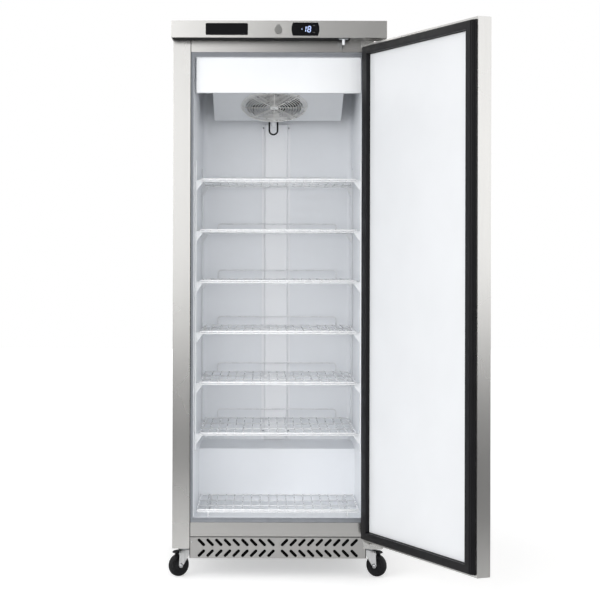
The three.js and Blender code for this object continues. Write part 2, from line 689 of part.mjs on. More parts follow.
const plungerProfile = [
  [0, -PLUNGER_OUT], [PLUNGER_R - 2, -PLUNGER_OUT], [PLUNGER_R, -PLUNGER_OUT + 2],
  [PLUNGER_R, SWITCH_CASE_H - 3 - PLUNGER_TRAVEL - 1], [0, SWITCH_CASE_H - 3 - PLUNGER_TRAVEL - 1],
];
add("door_switch_plunger", turned(plungerProfile, 12), WHITE_PLASTIC, doorSwitch);

// ---------------------------------------------------------------- evaporator

const CEILING = OPENING_TOP;
const COVER_TOP = CEILING - GAP;
const COVER_T = 1.5;
function evaporatorCover() {
  const y = FRONT + COVER_Y;
  const x = OPENING_X - COVER_SIDE;
  const bottom = COVER_TOP - COVER_H;
  const t = COVER_T;
  const outer = box(-x, x, y, y + COVER_RETURN, bottom, COVER_TOP);
  return cut(outer, box(-x + t, x - t, y + t, y + COVER_RETURN + 1, bottom + t, COVER_TOP - t));
}
add("evaporator_cover", evaporatorCover(), WHITE_COAT);

// pan: sloping fan plate, side cheeks up to the ceiling, and the drip tray behind under the coil
const PAN_X = OPENING_X - PAN_SIDE;
const PAN_REAR = LINER_BACK - PAN_BACK;
const PAN_EDGE = PAN_REAR - PAN_TRAY_D;
const PAN_EDGE_Z = CEILING - PAN_EDGE_DROP;
const panSlope = Math.tan(radians(PAN_TILT));
const panZ = (y) => PAN_EDGE_Z + (PAN_EDGE - y) * panSlope;
const TRAY_Z = PAN_EDGE_Z + PAN_LIP;
const DRAIN_Y = PAN_EDGE + DRAIN_BACK;
const SPOUT_X = DRAIN_X - DRAIN_LOOP_R;
const SPOUT_L = 6;
const FAN_CENTRE_Y = PAN_EDGE - FAN_FROM_EDGE;
const FAN_CENTRE_Z = panZ(FAN_CENTRE_Y);

// the fan's own frame: +Z along its axis, into the pan
function fanFrame() {
  const frame = new THREE.Group();
  frame.position.set(FAN_X, FAN_CENTRE_Y, FAN_CENTRE_Z);
  frame.rotation.x = -radians(PAN_TILT);
  return frame;
}

function evaporatorPan() {
  const t = COVER_T;
  const front = FRONT + PAN_FRONT_Y;
  const back = PAN_REAR;
  const x = PAN_X;
  const plate = outline([
    [front, panZ(front)], [PAN_EDGE, PAN_EDGE_Z], [PAN_EDGE + t, PAN_EDGE_Z],
    [PAN_EDGE + t, TRAY_Z], [back, TRAY_Z], [back, TRAY_Z + 16], [back - t, TRAY_Z + 16],
    [back - t, TRAY_Z + t], [PAN_EDGE, TRAY_Z + t], [PAN_EDGE, PAN_EDGE_Z + t / Math.cos(radians(PAN_TILT))],
    [front, panZ(front) + t / Math.cos(radians(PAN_TILT))],
  ]);
  const top = CEILING - GAP;
  const cheek = outline([
    [front, panZ(front)], [PAN_EDGE, PAN_EDGE_Z], [PAN_EDGE + t, TRAY_Z],
    [back, TRAY_Z], [back, top], [front, top],
  ]);
  const hole = cylinder(FAN_R + 3, -20, 20, 18);
  const frame = fanFrame();
  frame.updateMatrix();
  hole.applyMatrix4(frame.matrix);
  const whole = join(across(plate, -x, x), across(cheek, -x, -x + t), across(cheek, x - t, x));
  const drain = cylinder(DRAIN_R + 1.5, TRAY_Z - SPOUT_L, TRAY_Z + 1, 8).translate(SPOUT_X, DRAIN_Y, 0);
  const drainHole = cylinder(DRAIN_R - 1, TRAY_Z - SPOUT_L - 1, TRAY_Z + 5, 8).translate(SPOUT_X, DRAIN_Y, 0);
  return cut(join(whole, drain), hole, drainHole);
}
add("evaporator_pan", evaporatorPan(), WHITE_COAT);

// a comb of fins on a web, as an outline: fins stand both ways from the middle
function comb(half, fins, thick, low, high) {
  const web = (high - low) * 0.06;
  const mid = (low + high) / 2;
  const lower = [];
  const upper = [];
  for (let i = 0; i < fins; i++) {
    const x0 = -half + ((2 * half - thick) * i) / (fins - 1);
    const x1 = x0 + thick;
    lower.push([x0, mid - web], [x0, low], [x1, low], [x1, mid - web]);
    upper.push([x0, mid + web], [x0, high], [x1, high], [x1, mid + web]);
  }
  return outline([...lower.slice(1, -1), ...upper.slice(1, -1).reverse()]);
}

// finned coil block with its tube bends at both ends
function evaporatorCoil() {
  const y0 = PAN_EDGE + COIL_FRONT;
  const z0 = TRAY_Z + COVER_T + GAP;
  const half = PAN_X - COIL_SIDE;
  const block = backwards(comb(half, COIL_FINS, 1.6, z0, z0 + COIL_H), y0, y0 + COIL_D);
  const bends = [-1, 1].map((side) => {
    const mid = z0 + COIL_H / 2;
    const [reach, w] = [COIL_D * 0.32, 5];
    const shape = outline([
      [y0 + COIL_D / 2 - reach, mid - w], [y0 + COIL_D / 2 + reach, mid - w],
      [y0 + COIL_D / 2 + reach, mid + w], [y0 + COIL_D / 2 - reach, mid + w],
    ]);
    return side < 0 ? across(shape, -half - 12, -half + 1) : across(shape, half - 1, half + 12);
  });
  return join(block, ...bends);
}
add("evaporator_coil", evaporatorCoil(), GALVANISED);

// a fan: pitched blades on a hub, turning about +Z
function fanBlades(radius, hubR, depth, blades, pitch) {
  const hub = cylinder(hubR, 0, depth, 10);
  const pieces = [hub];
  for (let i = 0; i < blades; i++) {
    const blade = outline([
      [hubR - 3, -radius * 0.12], [radius * 0.72, -radius * 0.3], [radius * 0.94, -radius * 0.26],
      [radius * 0.98, 0], [radius * 0.86, radius * 0.28], [hubR - 3, radius * 0.16],
    ]);
    const sheet = raised(blade, -0.8, 0.8, 1);
    sheet.rotateX(radians(pitch)).rotateZ((2 * Math.PI * i) / blades).translate(0, 0, depth / 2);
    pieces.push(sheet);
  }
  return join(...pieces);
}

const FAN_SHAFT_R = 3;
const HUB_R = 26;
const HUB_H = 22;
const HUB_AT = 8;
const evaporatorFan = fanFrame();
freezer.add(evaporatorFan);

const bladesShape = cut(
  fanBlades(FAN_R - 5, HUB_R, HUB_H, FAN_BLADES, 18),
  bore(FAN_SHAFT_R, HUB_H - 12, HUB_H + 1, 10),
);
add("evaporator_fan_blades", bladesShape, GREY_PLASTIC, evaporatorFan).position.z = HUB_AT;

// motor on a cross strap that spans the fan hole
function fanMotor() {
  const z = HUB_AT + HUB_H + 4;
  const [r, end] = [FAN_MOTOR_R, z + FAN_MOTOR_H];
  const can = turned([[0, z], [r - 6, z], [r, z + 6], [r, end], [0, end]], 14);
  const shaft = cylinder(FAN_SHAFT_R, z - 10, z + 1, 10);
  const cheek = PAN_X - COVER_T - GAP;
  const [left, right] = [-cheek - FAN_X, cheek - FAN_X];
  const strap = box(left, right, -9, 9, z + 8, z + 10);
  const ends = [box(left, left + 2, -9, 9, z - 16, z + 10), box(right - 2, right, -9, 9, z - 16, z + 10)];
  return join(can, shaft, strap, ...ends);
}
add("evaporator_fan_motor", fanMotor(), BLACK_PAINT, evaporatorFan);

// guard: a plate opened between its rings and ribs, on a rim that stands on the pan
function fanGuard() {
  const plane = -GUARD_STAND_OFF;
  const hubR = 16;
  const w = GUARD_WIRE;
  const steps = 2;
  const sector = (2 * Math.PI) / GUARD_RIBS;
  const face = new THREE.Shape();
  face.absarc(0, 0, GUARD_R, 0, 2 * Math.PI);
  const pitch = (GUARD_R - 8 - hubR) / GUARD_RINGS;
  for (let ring = 0; ring < GUARD_RINGS; ring++) {
    const [r0, r1] = [hubR + pitch * ring + w / 2, hubR + pitch * (ring + 1) - w / 2];
    for (let rib = 0; rib < GUARD_RIBS; rib++) {
      const opening = [];
      for (const [r, turn] of [[r0, 1], [r1, -1]]) {
        for (let k = 0; k <= steps; k++) {
          const edge = sector / 2 - w / 2 / r;
          const a = sector * (rib + 0.5) + turn * edge * ((2 * k) / steps - 1);
          opening.push(new THREE.Vector2(r * Math.cos(a), r * Math.sin(a)));
        }
      }
      face.holes.push(new THREE.Path(opening));
    }
  }
  const plate = raised(face, plane - 1, plane + 1, 8);
  const [r0, r1] = [GUARD_R - 4, GUARD_R - 1];
  const rim = turned([[r0, plane], [r1, plane], [r1, -GAP], [r0, -GAP], [r0, plane]], 16);
  return join(plate, rim);
}
add("fan_guard", fanGuard(), GUARD_STEEL, evaporatorFan);

// drain hose: a loop that hangs under the tray's spout
class DrainLoop extends THREE.Curve {
  getPoint(t, target = new THREE.Vector3()) {
    const drop = DRAIN_DROP;
    const arc = Math.PI * DRAIN_LOOP_R;
    const total = 2 * drop + arc;
    const s = t * total;
    if (s < drop) return target.set(-DRAIN_LOOP_R, 0, -s);
    if (s > drop + arc) return target.set(DRAIN_LOOP_R, 0, -(total - s));
    const a = (s - drop) / DRAIN_LOOP_R;
    return target.set(-DRAIN_LOOP_R * Math.cos(a), 0, -drop - DRAIN_LOOP_R * Math.sin(a));
  }
}
const hose = tube(new DrainLoop(), DRAIN_R, 8, 14);
hose.translate(DRAIN_X, DRAIN_Y, TRAY_Z - SPOUT_L - GAP);
add("drain_hose", hose, BLACK_RUBBER);

// air duct up the middle of the back wall, with an outlet slot at its foot
function airDuct() {
  const back = LINER_BACK - GAP;
  const front = back - DUCT_D;
  const foot = STEP_TOP + STEP_FALL + GAP;
  const top = TRAY_Z - 14;
  const x = DUCT_W / 2;
  const wide = x + DUCT_FLANGE;
  const duct = roundedRectangle(0, (front + back + 8) / 2, DUCT_W, DUCT_D + 8, 6);
  const body = cut(raised(duct, foot, top, 3), box(-x, x, back, back + 20, foot - 1, top + 1));
  const flanges = box(-wide, wide, back - DUCT_T, back, foot, top);
  const hollow = box(-x + 3, x - 3, front + 3, back - DUCT_T, foot - 1, top + 1);
  const outlet = box(-x + 6, x - 6, front - 1, front + 6, foot - 1, foot + DUCT_OUTLET_H);
  return cut(join(body, flanges), hollow, outlet).translate(DUCT_X, 0, 0);
}
add("air_duct", airDuct(), WHITE_PLASTIC);

// ---------------------------------------------------------------- shelves

const SHELF_X = OPENING_X - SHELF_SIDE;
const SHELF_D = LINER_D - SHELF_Y - SHELF_BACK;
const SHELF_FIRST_Z = STEP_TOP + STEP_FALL + SHELF_OVER_STEP;
const SHELF_PITCH = (OPENING_TOP - SHELF_UNDER_CEILING - SHELF_FIRST_Z) / (SHELF_COUNT - 1);
const RAIL_BACK_Y = SHELF_Y + SHELF_D - RAIL_BACK_IN;
const shelfZ = (i) => SHELF_FIRST_Z + SHELF_PITCH * i;

// pilaster on a side wall with one triangular clip for each shelf
function shelfRail(side, depth) {
  const y = FRONT + depth;
  const wall = Math.min(linerHalf(depth - RAIL_W / 2), linerHalf(depth + RAIL_W / 2)) - GAP;
  const low = Math.min(shelfZ(0) - RAIL_BELOW, STEP_TOP + STEP_FALL + 20);
  const high = shelfZ(SHELF_COUNT - 1) + RAIL_ABOVE;
  const xs = [side * wall, side * (wall - RAIL_T)].sort((a, b) => a - b);
  const pieces = [box(xs[0], xs[1], y - RAIL_W / 2, y + RAIL_W / 2, low, high)];
  const inner = SHELF_X - CLIP_OVERLAP;
  for (let i = 0; i < SHELF_COUNT; i++) {
    const top = shelfZ(i) - SHELF_FRAME - GAP;
    const clip = outline([
      [side * (wall - 1), top], [side * inner, top],
      [side * inner, top - 5], [side * (wall - 1), top - CLIP_H],
    ]);
    pieces.push(backwards(clip, y - CLIP_T / 2, y + CLIP_T / 2));
  }
  return join(...pieces);
}
for (const [name, side, depth] of [
  ["shelf_rail_left_front", -1, RAIL_FRONT_Y],
  ["shelf_rail_right_front", 1, RAIL_FRONT_Y],
  ["shelf_rail_left_rear", -1, RAIL_BACK_Y],
  ["shelf_rail_right_rear", 1, RAIL_BACK_Y],
]) {
  add(name, shelfRail(side, depth), WHITE_COAT);
}

// a coated wire shelf: wires from front to back inside a frame, on cross bars underneath
function wireDeck(x, depth, crossBars, wires) {
  const f = SHELF_FRAME;
  const deck = box(-x, x, 0, depth, -f, 0);
  const pitch = (2 * x - f) / (wires + 1);
  const openings = [];
  for (let i = 0; i <= wires; i++) {
    const x0 = -x + f / 2 + pitch * i + (i ? SHELF_WIRE : f) / 2;
    const x1 = -x + f / 2 + pitch * (i + 1) - (i < wires ? SHELF_WIRE : f) / 2;
    openings.push(box(x0, x1, f, depth - f, -f - 1, 1));
  }
  const pieces = [cut(deck, ...openings)];
  const end = x - f / 2 - pitch + SHELF_WIRE / 2; // outside of the last wire
  for (let i = 0; i < crossBars; i++) {
    const at = (depth * (i + 1)) / (crossBars + 1);
    pieces.push(bentBar(end, -f - BAR_DROP, -f - 0.1, -f + 1, at - BAR_DROP / 2, at + BAR_DROP / 2));
  }
  return pieces;
}

// a bar across from -x to x, outer side at z0 and inner side at z1, its ends bent to the height of ends
function bentBar(x, z0, z1, ends, y0, y1) {
  const inner = x - SHELF_WIRE;
  const shape = outline([
    [-x, ends], [-x, z0], [x, z0], [x, ends], [inner, ends], [inner, z1], [-inner, z1], [-inner, ends],
  ]);
  return backwards(shape, y0, y1);
}

// second wire under the front rail, held by its turned-up ends
function lowerFrontWire() {
  const low = -SHELF_FRAME - FRONT_WIRE_GAP - SHELF_WIRE;
  return bentBar(SHELF_X - 1, low, low + SHELF_WIRE, -1, 1, 1 + SHELF_WIRE);
}

// stop at the back of the shelf, its ends bent down to the frame
function upstand(depth) {
  const y = depth - SHELF_FRAME / 2;
  const reach = SHELF_X - UPSTAND_IN;
  return bentBar(reach, UPSTAND_H, UPSTAND_H - SHELF_WIRE, -2, y - SHELF_WIRE / 2, y + SHELF_WIRE / 2);
}

const shelfShape = join(...wireDeck(SHELF_X, SHELF_D, 1, SHELF_WIRES), lowerFrontWire(), upstand(SHELF_D));
for (let i = 0; i < SHELF_COUNT; i++) {
  const shelf = add("shelf_" + (i + 1), shelfShape, WHITE_COAT);
  shelf.position.set(0, FRONT + SHELF_Y, shelfZ(i));
}

// bottom rack on bent wire legs
const RACK_X = OPENING_X - RACK_SIDE;
const RACK_D = LINER_D - RACK_Y - RACK_BACK - (BAY_D - BACK_WALL);
function bottomRack() {
  const pieces = wireDeck(RACK_X, RACK_D, 1, SHELF_WIRES);
  const low = -RACK_H;
  const w = SHELF_WIRE;
  for (const y of [SHELF_FRAME / 2, RACK_D - SHELF_FRAME / 2]) {
    const x = RACK_X - 2;
    const inner = RACK_X - RACK_LEG_IN;
    pieces.push(box(-x, x, y - w / 2, y + w / 2, low, low + w));
    for (const leg of [-x + w / 2, -inner, inner, x - w / 2]) {
      pieces.push(box(leg - w / 2, leg + w / 2, y - w / 2, y + w / 2, low + 1, -1));
    }
  }
  return join(...pieces);
}
const rack = add("bottom_shelf", bottomRack(), WHITE_COAT);
rack.position.set(0, FRONT + RACK_Y, OPENING_Z + GAP + RACK_H);

// ---------------------------------------------------------------- kick panel

// slanted slots with round ends, in two mirrored rows and two mirrored halves
function kickPanel() {
  const x = STILE_IN - GAP;
  const z1 = SILL_BOTTOM - KICK_GAP;
  const z0 = z1 - KICK_H;
  const mid = (z0 + z1) / 2;
  const slotsASide = Math.floor((x - SLOT_MARGIN - SLOT_FIRST_X) / SLOT_PITCH) + 1;
  const slots = [];
  for (const row of [-1, 1]) {
    for (const half of [-1, 1]) {
      for (let i = 0; i < slotsASide; i++) {
        const cx = half * (SLOT_FIRST_X + SLOT_PITCH * i);
        slots.push(slot(cx, mid + (row * SLOT_ROW_PITCH) / 2, row * half));
      }
    }
  }
  const sheet = cut(box(-x, x, FRONT, FRONT + SHEET, z0, z1), ...slots);
  const underX = CASTOR_X - CASTOR_CLEAR;
  const under = box(-underX, underX, FRONT + SHEET / 2, FRONT + KICK_RETURN, z0, z0 + SHEET);
  const ears = [-1, 1].map((s) => box(
    Math.min(s * x, s * (x - SHEET)), Math.max(s * x, s * (x - SHEET)),
    FRONT + SHEET / 2, FRONT + HEM - GAP, CASTOR_H + 1, z1,
  ));
  return join(sheet, under, ...ears);
}

function slot(cx, cz, lean) {
  const a = (lean * Math.PI) / 4;
  const corners = 3; // on each round end
  const points = [];
  for (const end of [1, -1]) {
    for (let k = 0; k < corners; k++) {
      const b = a + (end > 0 ? 0 : Math.PI) - Math.PI / 2 + (Math.PI * k) / (corners - 1);
      points.push([
        cx + (end * Math.cos(a) * SLOT_L) / 2 + SLOT_R * Math.cos(b),
        cz + (end * Math.sin(a) * SLOT_L) / 2 + SLOT_R * Math.sin(b),
      ]);
    }
  }
  return backwards(outline(points), FRONT - 1, FRONT + SHEET + 1);
}
add("kick_panel", kickPanel(), STAINLESS);

// ---------------------------------------------------------------- machine bay

const BAY_FLOOR = CASTOR_H + 2 * GAP + SHEET;

const COMPRESSOR_X = SIDE - COMPRESSOR_IN;
const COMPRESSOR_Y = BACK - COMPRESSOR_FROM_BACK;
const BELT = 1.04;
const FOOT_R = 11;

function compressor() {
  const r = COMPRESSOR_R;
  const base = FEET_H;
  const high = COMPRESSOR_H - base;
  // parts of the radius and of the shell's height; the belt is its weld
  const profile = [
    [0, 0], [0.8, 0], [0.96, 0.1], [1, 0.27], [1, 0.555], [BELT, 0.57], [BELT, 0.62], [1, 0.635],
    [0.97, 0.82], [0.7, 0.965], [0, 1],
  ];
  const shell = turned(profile.map(([out, up]) => [out * r, base + up * high]), 14);
  const [x, y] = [COMPRESSOR_BASE_W / 2, COMPRESSOR_BASE_D / 2];
  const plate = box(-x, x, -y, y, base - 1, base + 3);
  const feet = [[-1, -1], [1, -1], [-1, 1], [1, 1]].map(([sx, sy]) =>
    cylinder(FOOT_R, 0, base + 1, 8).translate(sx * (x - FOOT_R - 1), sy * (y - FOOT_R - 1), 0),
  );
  const middle = base + high / 2;
  const terminal = box(
    -TERMINAL_W / 2, TERMINAL_W / 2, r - 6, r + 20, middle - TERMINAL_H / 2, middle + TERMINAL_H / 2,
  );
  return join(shell, plate, ...feet, terminal);
}
const compressorMesh = add("compressor", compressor(), BLACK_PAINT);
compressorMesh.position.set(COMPRESSOR_X, COMPRESSOR_Y, BAY_FLOOR);

// condenser: finned block between end plates
const CONDENSER_X = CONDENSER_IN - SIDE;
const CONDENSER_Y = BAY_FRONT + CONDENSER_GAP;
const PIPE_END = 8; // its pipes past the fins
const PIPE_IN = 30; // and in from its top and bottom
function condenser() {
  const [x, z0, z1] = [CONDENSER_W / 2, BAY_FLOOR, BAY_FLOOR + CONDENSER_H];
  const [y0, y1] = [CONDENSER_Y, CONDENSER_Y + CONDENSER_D];
  const block = raised(comb(x, CONDENSER_FINS, 1.6, y0, y1), z0, z1);
  const ends = [];
  for (const z of [z0 + PIPE_IN, z1 - PIPE_IN]) {
    for (const from of [-x - PIPE_END, x - 1]) {
      const pipe = cylinder(PIPE_R + 2, from, from + PIPE_END + 1, 8).rotateY(Math.PI / 2);
      ends.push(pipe.translate(0, (y0 + y1) / 2, z));
    }
  }
  return join(block, ...ends);
}
const condenserMesh = add("condenser", condenser(), BLACK_PAINT);
condenserMesh.position.x = CONDENSER_X;

// shroud with its motor held on a cross strap, and the blades in its ring
const SHROUD_Y = CONDENSER_Y + CONDENSER_D + GAP;
const SHROUD_Z = BAY_FLOOR + CONDENSER_H / 2;
const condenserFan = new THREE.Group();
condenserFan.position.set(CONDENSER_X, SHROUD_Y, SHROUD_Z);
condenserFan.rotation.x = -Math.PI / 2; // local +Z runs towards the back
freezer.add(condenserFan);

function shroud() {
  const half = CONDENSER_H / 2;
  const r = CONDENSER_FAN_R + 5;
  const plate = box(-CONDENSER_W / 2, CONDENSER_W / 2, -half, half, 0, 1.5);
  const ring = cylinder(r + 1.5, 0, SHROUD_D, 14);
  const strap = box(-r - 1, r + 1, -9, 9, SHROUD_D - 3, SHROUD_D - 1);
  const motor = cylinder(CONDENSER_MOTOR_R, SHROUD_D - 3, SHROUD_D - 3 + CONDENSER_MOTOR_L, 12);
  const shaft = cylinder(FAN_SHAFT_R, SHROUD_D - 16, SHROUD_D - 2, 8);
  const throat = cylinder(r, -1, SHROUD_D + 1, 14);
  return join(cut(join(plate, ring), throat), strap, motor, shaft);
}
add("condenser_fan_shroud", shroud(), BLACK_PAINT, condenserFan);

const condenserBlades = cut(
  fanBlades(CONDENSER_FAN_R, 24, 18, FAN_BLADES, 22),
  bore(FAN_SHAFT_R, 8, 20, 10),
);
add("condenser_fan_blades", condenserBlades, GREY_PLASTIC, condenserFan).position.z = SHROUD_D - 3 - 4 - 18;

// upright filter drier on its pipe from the condenser's end to the compressor's side
function filterDrier() {
  const startX = CONDENSER_X + CONDENSER_W / 2 + PIPE_END + GAP;
  const startY = CONDENSER_Y + CONDENSER_D / 2;
  const startZ = BAY_FLOOR + PIPE_IN;
  const endX = COMPRESSOR_X - BELT * COMPRESSOR_R - 1;
  const drierX = (startX + endX) / 2;
  const drierY = startY + DRIER_R;
  const low = startZ + DRIER_R;
  const high = low + DRIER_L;
  const points = [
    [startX, startY, startZ], [startX + DRIER_R, startY, startZ], [drierX, drierY, low],
    [drierX, drierY, high], [(drierX + endX) / 2, (drierY + COMPRESSOR_Y) / 2, high],
    [endX, COMPRESSOR_Y, BAY_FLOOR + COMPRESSOR_H / 2],
  ];
  const path = new THREE.CatmullRomCurve3(points.map((p) => new THREE.Vector3(...p)), false, "centripetal");
  const drier = turned(
    [[0, -DRIER_L / 2], [PIPE_R + 1, -DRIER_L / 2], [DRIER_R, -DRIER_L / 2 + 14], [DRIER_R, DRIER_L / 2 - 14],
      [PIPE_R + 1, DRIER_L / 2], [0, DRIER_L / 2]],
    8,
  );
  return join(tube(path, PIPE_R, 6, 16), drier.translate(drierX, drierY, (low + high) / 2));
}
add("filter_drier", filterDrier(), COPPER);

// tray that collects the defrost water, under the drain's outlet
function dripTray() {
  const t = 2;
  const [x, top] = [TRAY_W / 2, BAY_FLOOR + TRAY_H];
  const y1 = BACK_SHEET_Y - 6;
  const y0 = y1 - TRAY_D;
  const basin = box(-x + t, x - t, y0 + t, y1 - t, BAY_FLOOR + t, top + 1);
  return cut(box(-x, x, y0, y1, BAY_FLOOR, top), basin).translate(COMPRESSOR_X - TRAY_FROM_COMPRESSOR, 0, 0);
}
add("drip_tray", dripTray(), BLACK_PLASTIC);

// louvred back cover of the machine bay, with the bush for the supply lead
function rearGrille() {
  const x = SIDE - SHEET - GAP - SHEET - GAP;
  const z0 = CASTOR_H + FLANGE_H + GAP;
  const z1 = BAY_TOP - GAP;
  const columnPitch = (2 * x - GRILLE_BLANK) / GRILLE_COLUMNS;
  const rowPitch = (z1 - z0 - 50) / GRILLE_ROWS;
  const [w, h] = [GRILLE_SLOT_W / 2, GRILLE_SLOT_H / 2];
  const slots = [];
  for (let c = 0; c < GRILLE_COLUMNS; c++) {
    for (let r = 0; r < GRILLE_ROWS; r++) {
      const cx = -x + 20 + columnPitch * (c + 0.5);
      const cz = z0 + 25 + rowPitch * (r + 0.5);
      slots.push(box(cx - w, cx + w, BACK_SHEET_Y - 1, BACK, cz - h, cz + h));
    }
  }
  const sheet = cut(box(-x, x, BACK_SHEET_Y, BACK_SHEET_Y + SHEET, z0, z1), ...slots);
  const at = [x - 45, 0, z0 + 40];
  const bush = bar(GLAND_R, BACK_SHEET_Y - 8, BACK_SHEET_Y + 12, 12).translate(...at);
  const leadHole = bar(GLAND_R - 4, BACK_SHEET_Y - 9, BACK_SHEET_Y + 13, 8).translate(...at);
  return cut(join(sheet, bush), leadHole);
}
add("rear_grille", rearGrille(), GALVANISED);

// ---------------------------------------------------------------- castors

// local frame: the kingpin on the Z axis, the wheel trails towards +X
const AXLE_R = 4;
const FORK_T = 2.5;
const FORK_IN = WHEEL_W / 2 + 1.2;
const CROWN_BOTTOM = CROWN_TOP - CROWN_T;
const PEDAL_X = TRAIL + 2;
const PEDAL_Z = CROWN_BOTTOM + 0.5;
const PEDAL_PIN_R = 2;

function castorFork(withPedal) {
  const [crownBack, crownFront] = [-RACE_R - 1, PEDAL_X - 10];
  const middle = (crownBack + crownFront) / 2;
  const crown = roundedRectangle(middle, 0, crownFront - crownBack, 2 * (FORK_IN + FORK_T), 8);
  const plate = raised(crown, CROWN_BOTTOM, CROWN_TOP, 1);
  const leg = new THREE.Shape();
  leg.moveTo(TRAIL - 9, WHEEL_R - 2);
  leg.absarc(TRAIL, WHEEL_R, 9, Math.PI, 2 * Math.PI);
  leg.lineTo(PEDAL_X + 5, CROWN_BOTTOM - 8);
  leg.lineTo(PEDAL_X + 5, CROWN_TOP - 1);
  leg.lineTo(-16, CROWN_TOP - 1);
  leg.lineTo(-16, CROWN_BOTTOM - 6);
  const legs = [-1, 1].map((s) => backwards(
    leg, s > 0 ? FORK_IN : -FORK_IN - FORK_T, s > 0 ? FORK_IN + FORK_T : -FORK_IN, 2,
  ));
  const axle = bar(AXLE_R, -FORK_IN - FORK_T - 3, FORK_IN + FORK_T + 3, 6).translate(TRAIL, 0, WHEEL_R);
  const holes = [bore(KINGPIN_R, CROWN_BOTTOM - 2, CROWN_TOP + 2, 10)];
  if (withPedal) {
    holes.push(bore(PEDAL_PIN_R, -30, 30, 8).rotateX(-Math.PI / 2).translate(PEDAL_X, 0, PEDAL_Z));
  }
  return cut(join(plate, ...legs, axle), ...holes);
}

// the tread's flats lie at the wheel's radius, one of them on the floor
function castorWheel() {
  const sides = 12;
  const flat = Math.cos(Math.PI / sides);
  const [r, w] = [WHEEL_R / flat, WHEEL_W / 2];
  const hole = (AXLE_R + RUNNING) / flat;
  const side = [[hole, w], [13, w], [15, w - 3], [26, w - 3], [r - 5, w], [r, w - 5]];
  const other = side.map(([a, b]) => [a, -b]).reverse();
  const profile = [...side, ...other, side[0]];
  return turned(profile.reverse(), sides).rotateZ(Math.PI / sides).rotateX(Math.PI / 2);
}

// foot pedal of the brake: a curved plate over the wheel on a cross pin
function brakePedal() {
  const half = FORK_IN - GAP - 0.4;
  const foot = new THREE.Shape();
  foot.moveTo(-5, -4);
  foot.lineTo(16, -4.5);
  foot.lineTo(16.5, -1.5);
  foot.quadraticCurveTo(14, 3.5, 6, 3.5);
  foot.lineTo(-4, 2.5);
  const plate = backwards(foot, -half, half, 3);
  return join(plate, bar(PEDAL_PIN_R, -FORK_IN - FORK_T, FORK_IN + FORK_T, 8));
}

const forkBraked = castorFork(true);
const forkPlain = castorFork(false);
const wheelShape = castorWheel();
const pedalShape = brakePedal();
for (const [place, x, y, heading, braked] of [
  ["front_left", -CASTOR_X, -CASTOR_Y, -180 + FRONT_SWIVEL, true],
  ["front_right", CASTOR_X, -CASTOR_Y, -FRONT_SWIVEL, true],
  ["rear_left", -CASTOR_X, CASTOR_Y, 90, false],
  ["rear_right", CASTOR_X, CASTOR_Y, 90, false],
]) {
  const castor = new THREE.Group();
  castor.position.set(x, y, 0);
  castor.rotation.z = radians(heading);
  freezer.add(castor);
  add("castor_fork_" + place, braked ? forkBraked : forkPlain, ZINC, castor);
  const wheel = add("castor_wheel_" + place, wheelShape, BLACK_RUBBER, castor);
  wheel.position.set(TRAIL, 0, WHEEL_R);
  if (braked) {
    const pedal = add("brake_pedal_" + place, pedalShape, BLACK_PLASTIC, castor);
    pedal.position.set(PEDAL_X, 0, PEDAL_Z);
  }
}

// ---------------------------------------------------------------- hinges

const PLATE_SIDE = 4; // brackets stop this short of the cabinet's side
const HINGE_CLEAR = 4; // door to a bracket's arm
const HINGE_NOSE_R = 14;
const COLLAR_R = 8;
const TOP_PLATE_X = HINGE_X - 48;
const BOTTOM_PLATE_Z = CASTOR_H + 1;
const BOTTOM_APRON = 14;
const BOTTOM_PLATE_IN = 8.5; // its plate over the kick panel's end

// a bracket: a plate screwed to the front frame, an arm under or over the door, and a collared pin
function hingeBracket(nose, plateX, armZ, plateZ0, plateZ1, pinUp) {
  const y0 = FRONT - GAP - HINGE_PLATE_T;
  const side = SIDE - PLATE_SIDE;
  const arm = new THREE.Shape();
  if (nose) {
    arm.moveTo(HINGE_X - 22, y0 + 1);
    arm.lineTo(HINGE_X - HINGE_NOSE_R, HINGE_Y);
    arm.absarc(HINGE_X, HINGE_Y, HINGE_NOSE_R, Math.PI, 2 * Math.PI);
    arm.lineTo(side, y0 + 1);
  } else {
    arm.moveTo(HINGE_X - 20, HINGE_Y - 20);
    arm.lineTo(HINGE_X + 21, HINGE_Y - 20);
    arm.lineTo(side, y0 + 1);
    arm.lineTo(plateX, y0 + 1);
  }
  const pieces = [
    raised(arm, armZ, armZ + HINGE_PLATE_T, 3),
    box(plateX, side, y0, FRONT - GAP, plateZ0, plateZ1),
  ];
  if (!nose) {
    pieces.push(box(HINGE_X - 20, HINGE_X + 21, HINGE_Y - 20, HINGE_Y - 16, armZ - BOTTOM_APRON, armZ + 1));
  }
  const [near, far] = pinUp ? [armZ + 1, DOOR_Z + HINGE_PIN_L] : [DOOR_TOP - HINGE_PIN_L, armZ + 1];
  const collar = pinUp ? [near, DOOR_Z - GAP] : [DOOR_TOP + GAP, far];
  pieces.push(cylinder(HINGE_PIN_R, near, far, 16).translate(HINGE_X, HINGE_Y, 0));
  pieces.push(cylinder(COLLAR_R, collar[0], collar[1], 12).translate(HINGE_X, HINGE_Y, 0));
  return join(...pieces);
}
const topBracket = hingeBracket(
  true, TOP_PLATE_X, DOOR_TOP + HINGE_CLEAR, DOOR_TOP - GASKET_INSET + 1, CANOPY_BOTTOM - GAP, false,
);
const bottomArmZ = DOOR_Z - HINGE_CLEAR - HINGE_PLATE_T;
const bottomBracket = hingeBracket(
  false, STILE_IN - BOTTOM_PLATE_IN, bottomArmZ, BOTTOM_PLATE_Z, bottomArmZ + HINGE_PLATE_T, true,
);
add("hinge_bracket_top", topBracket, STAINLESS);
add("hinge_bracket_bottom", bottomBracket, STAINLESS);

// ---------------------------------------------------------------- door

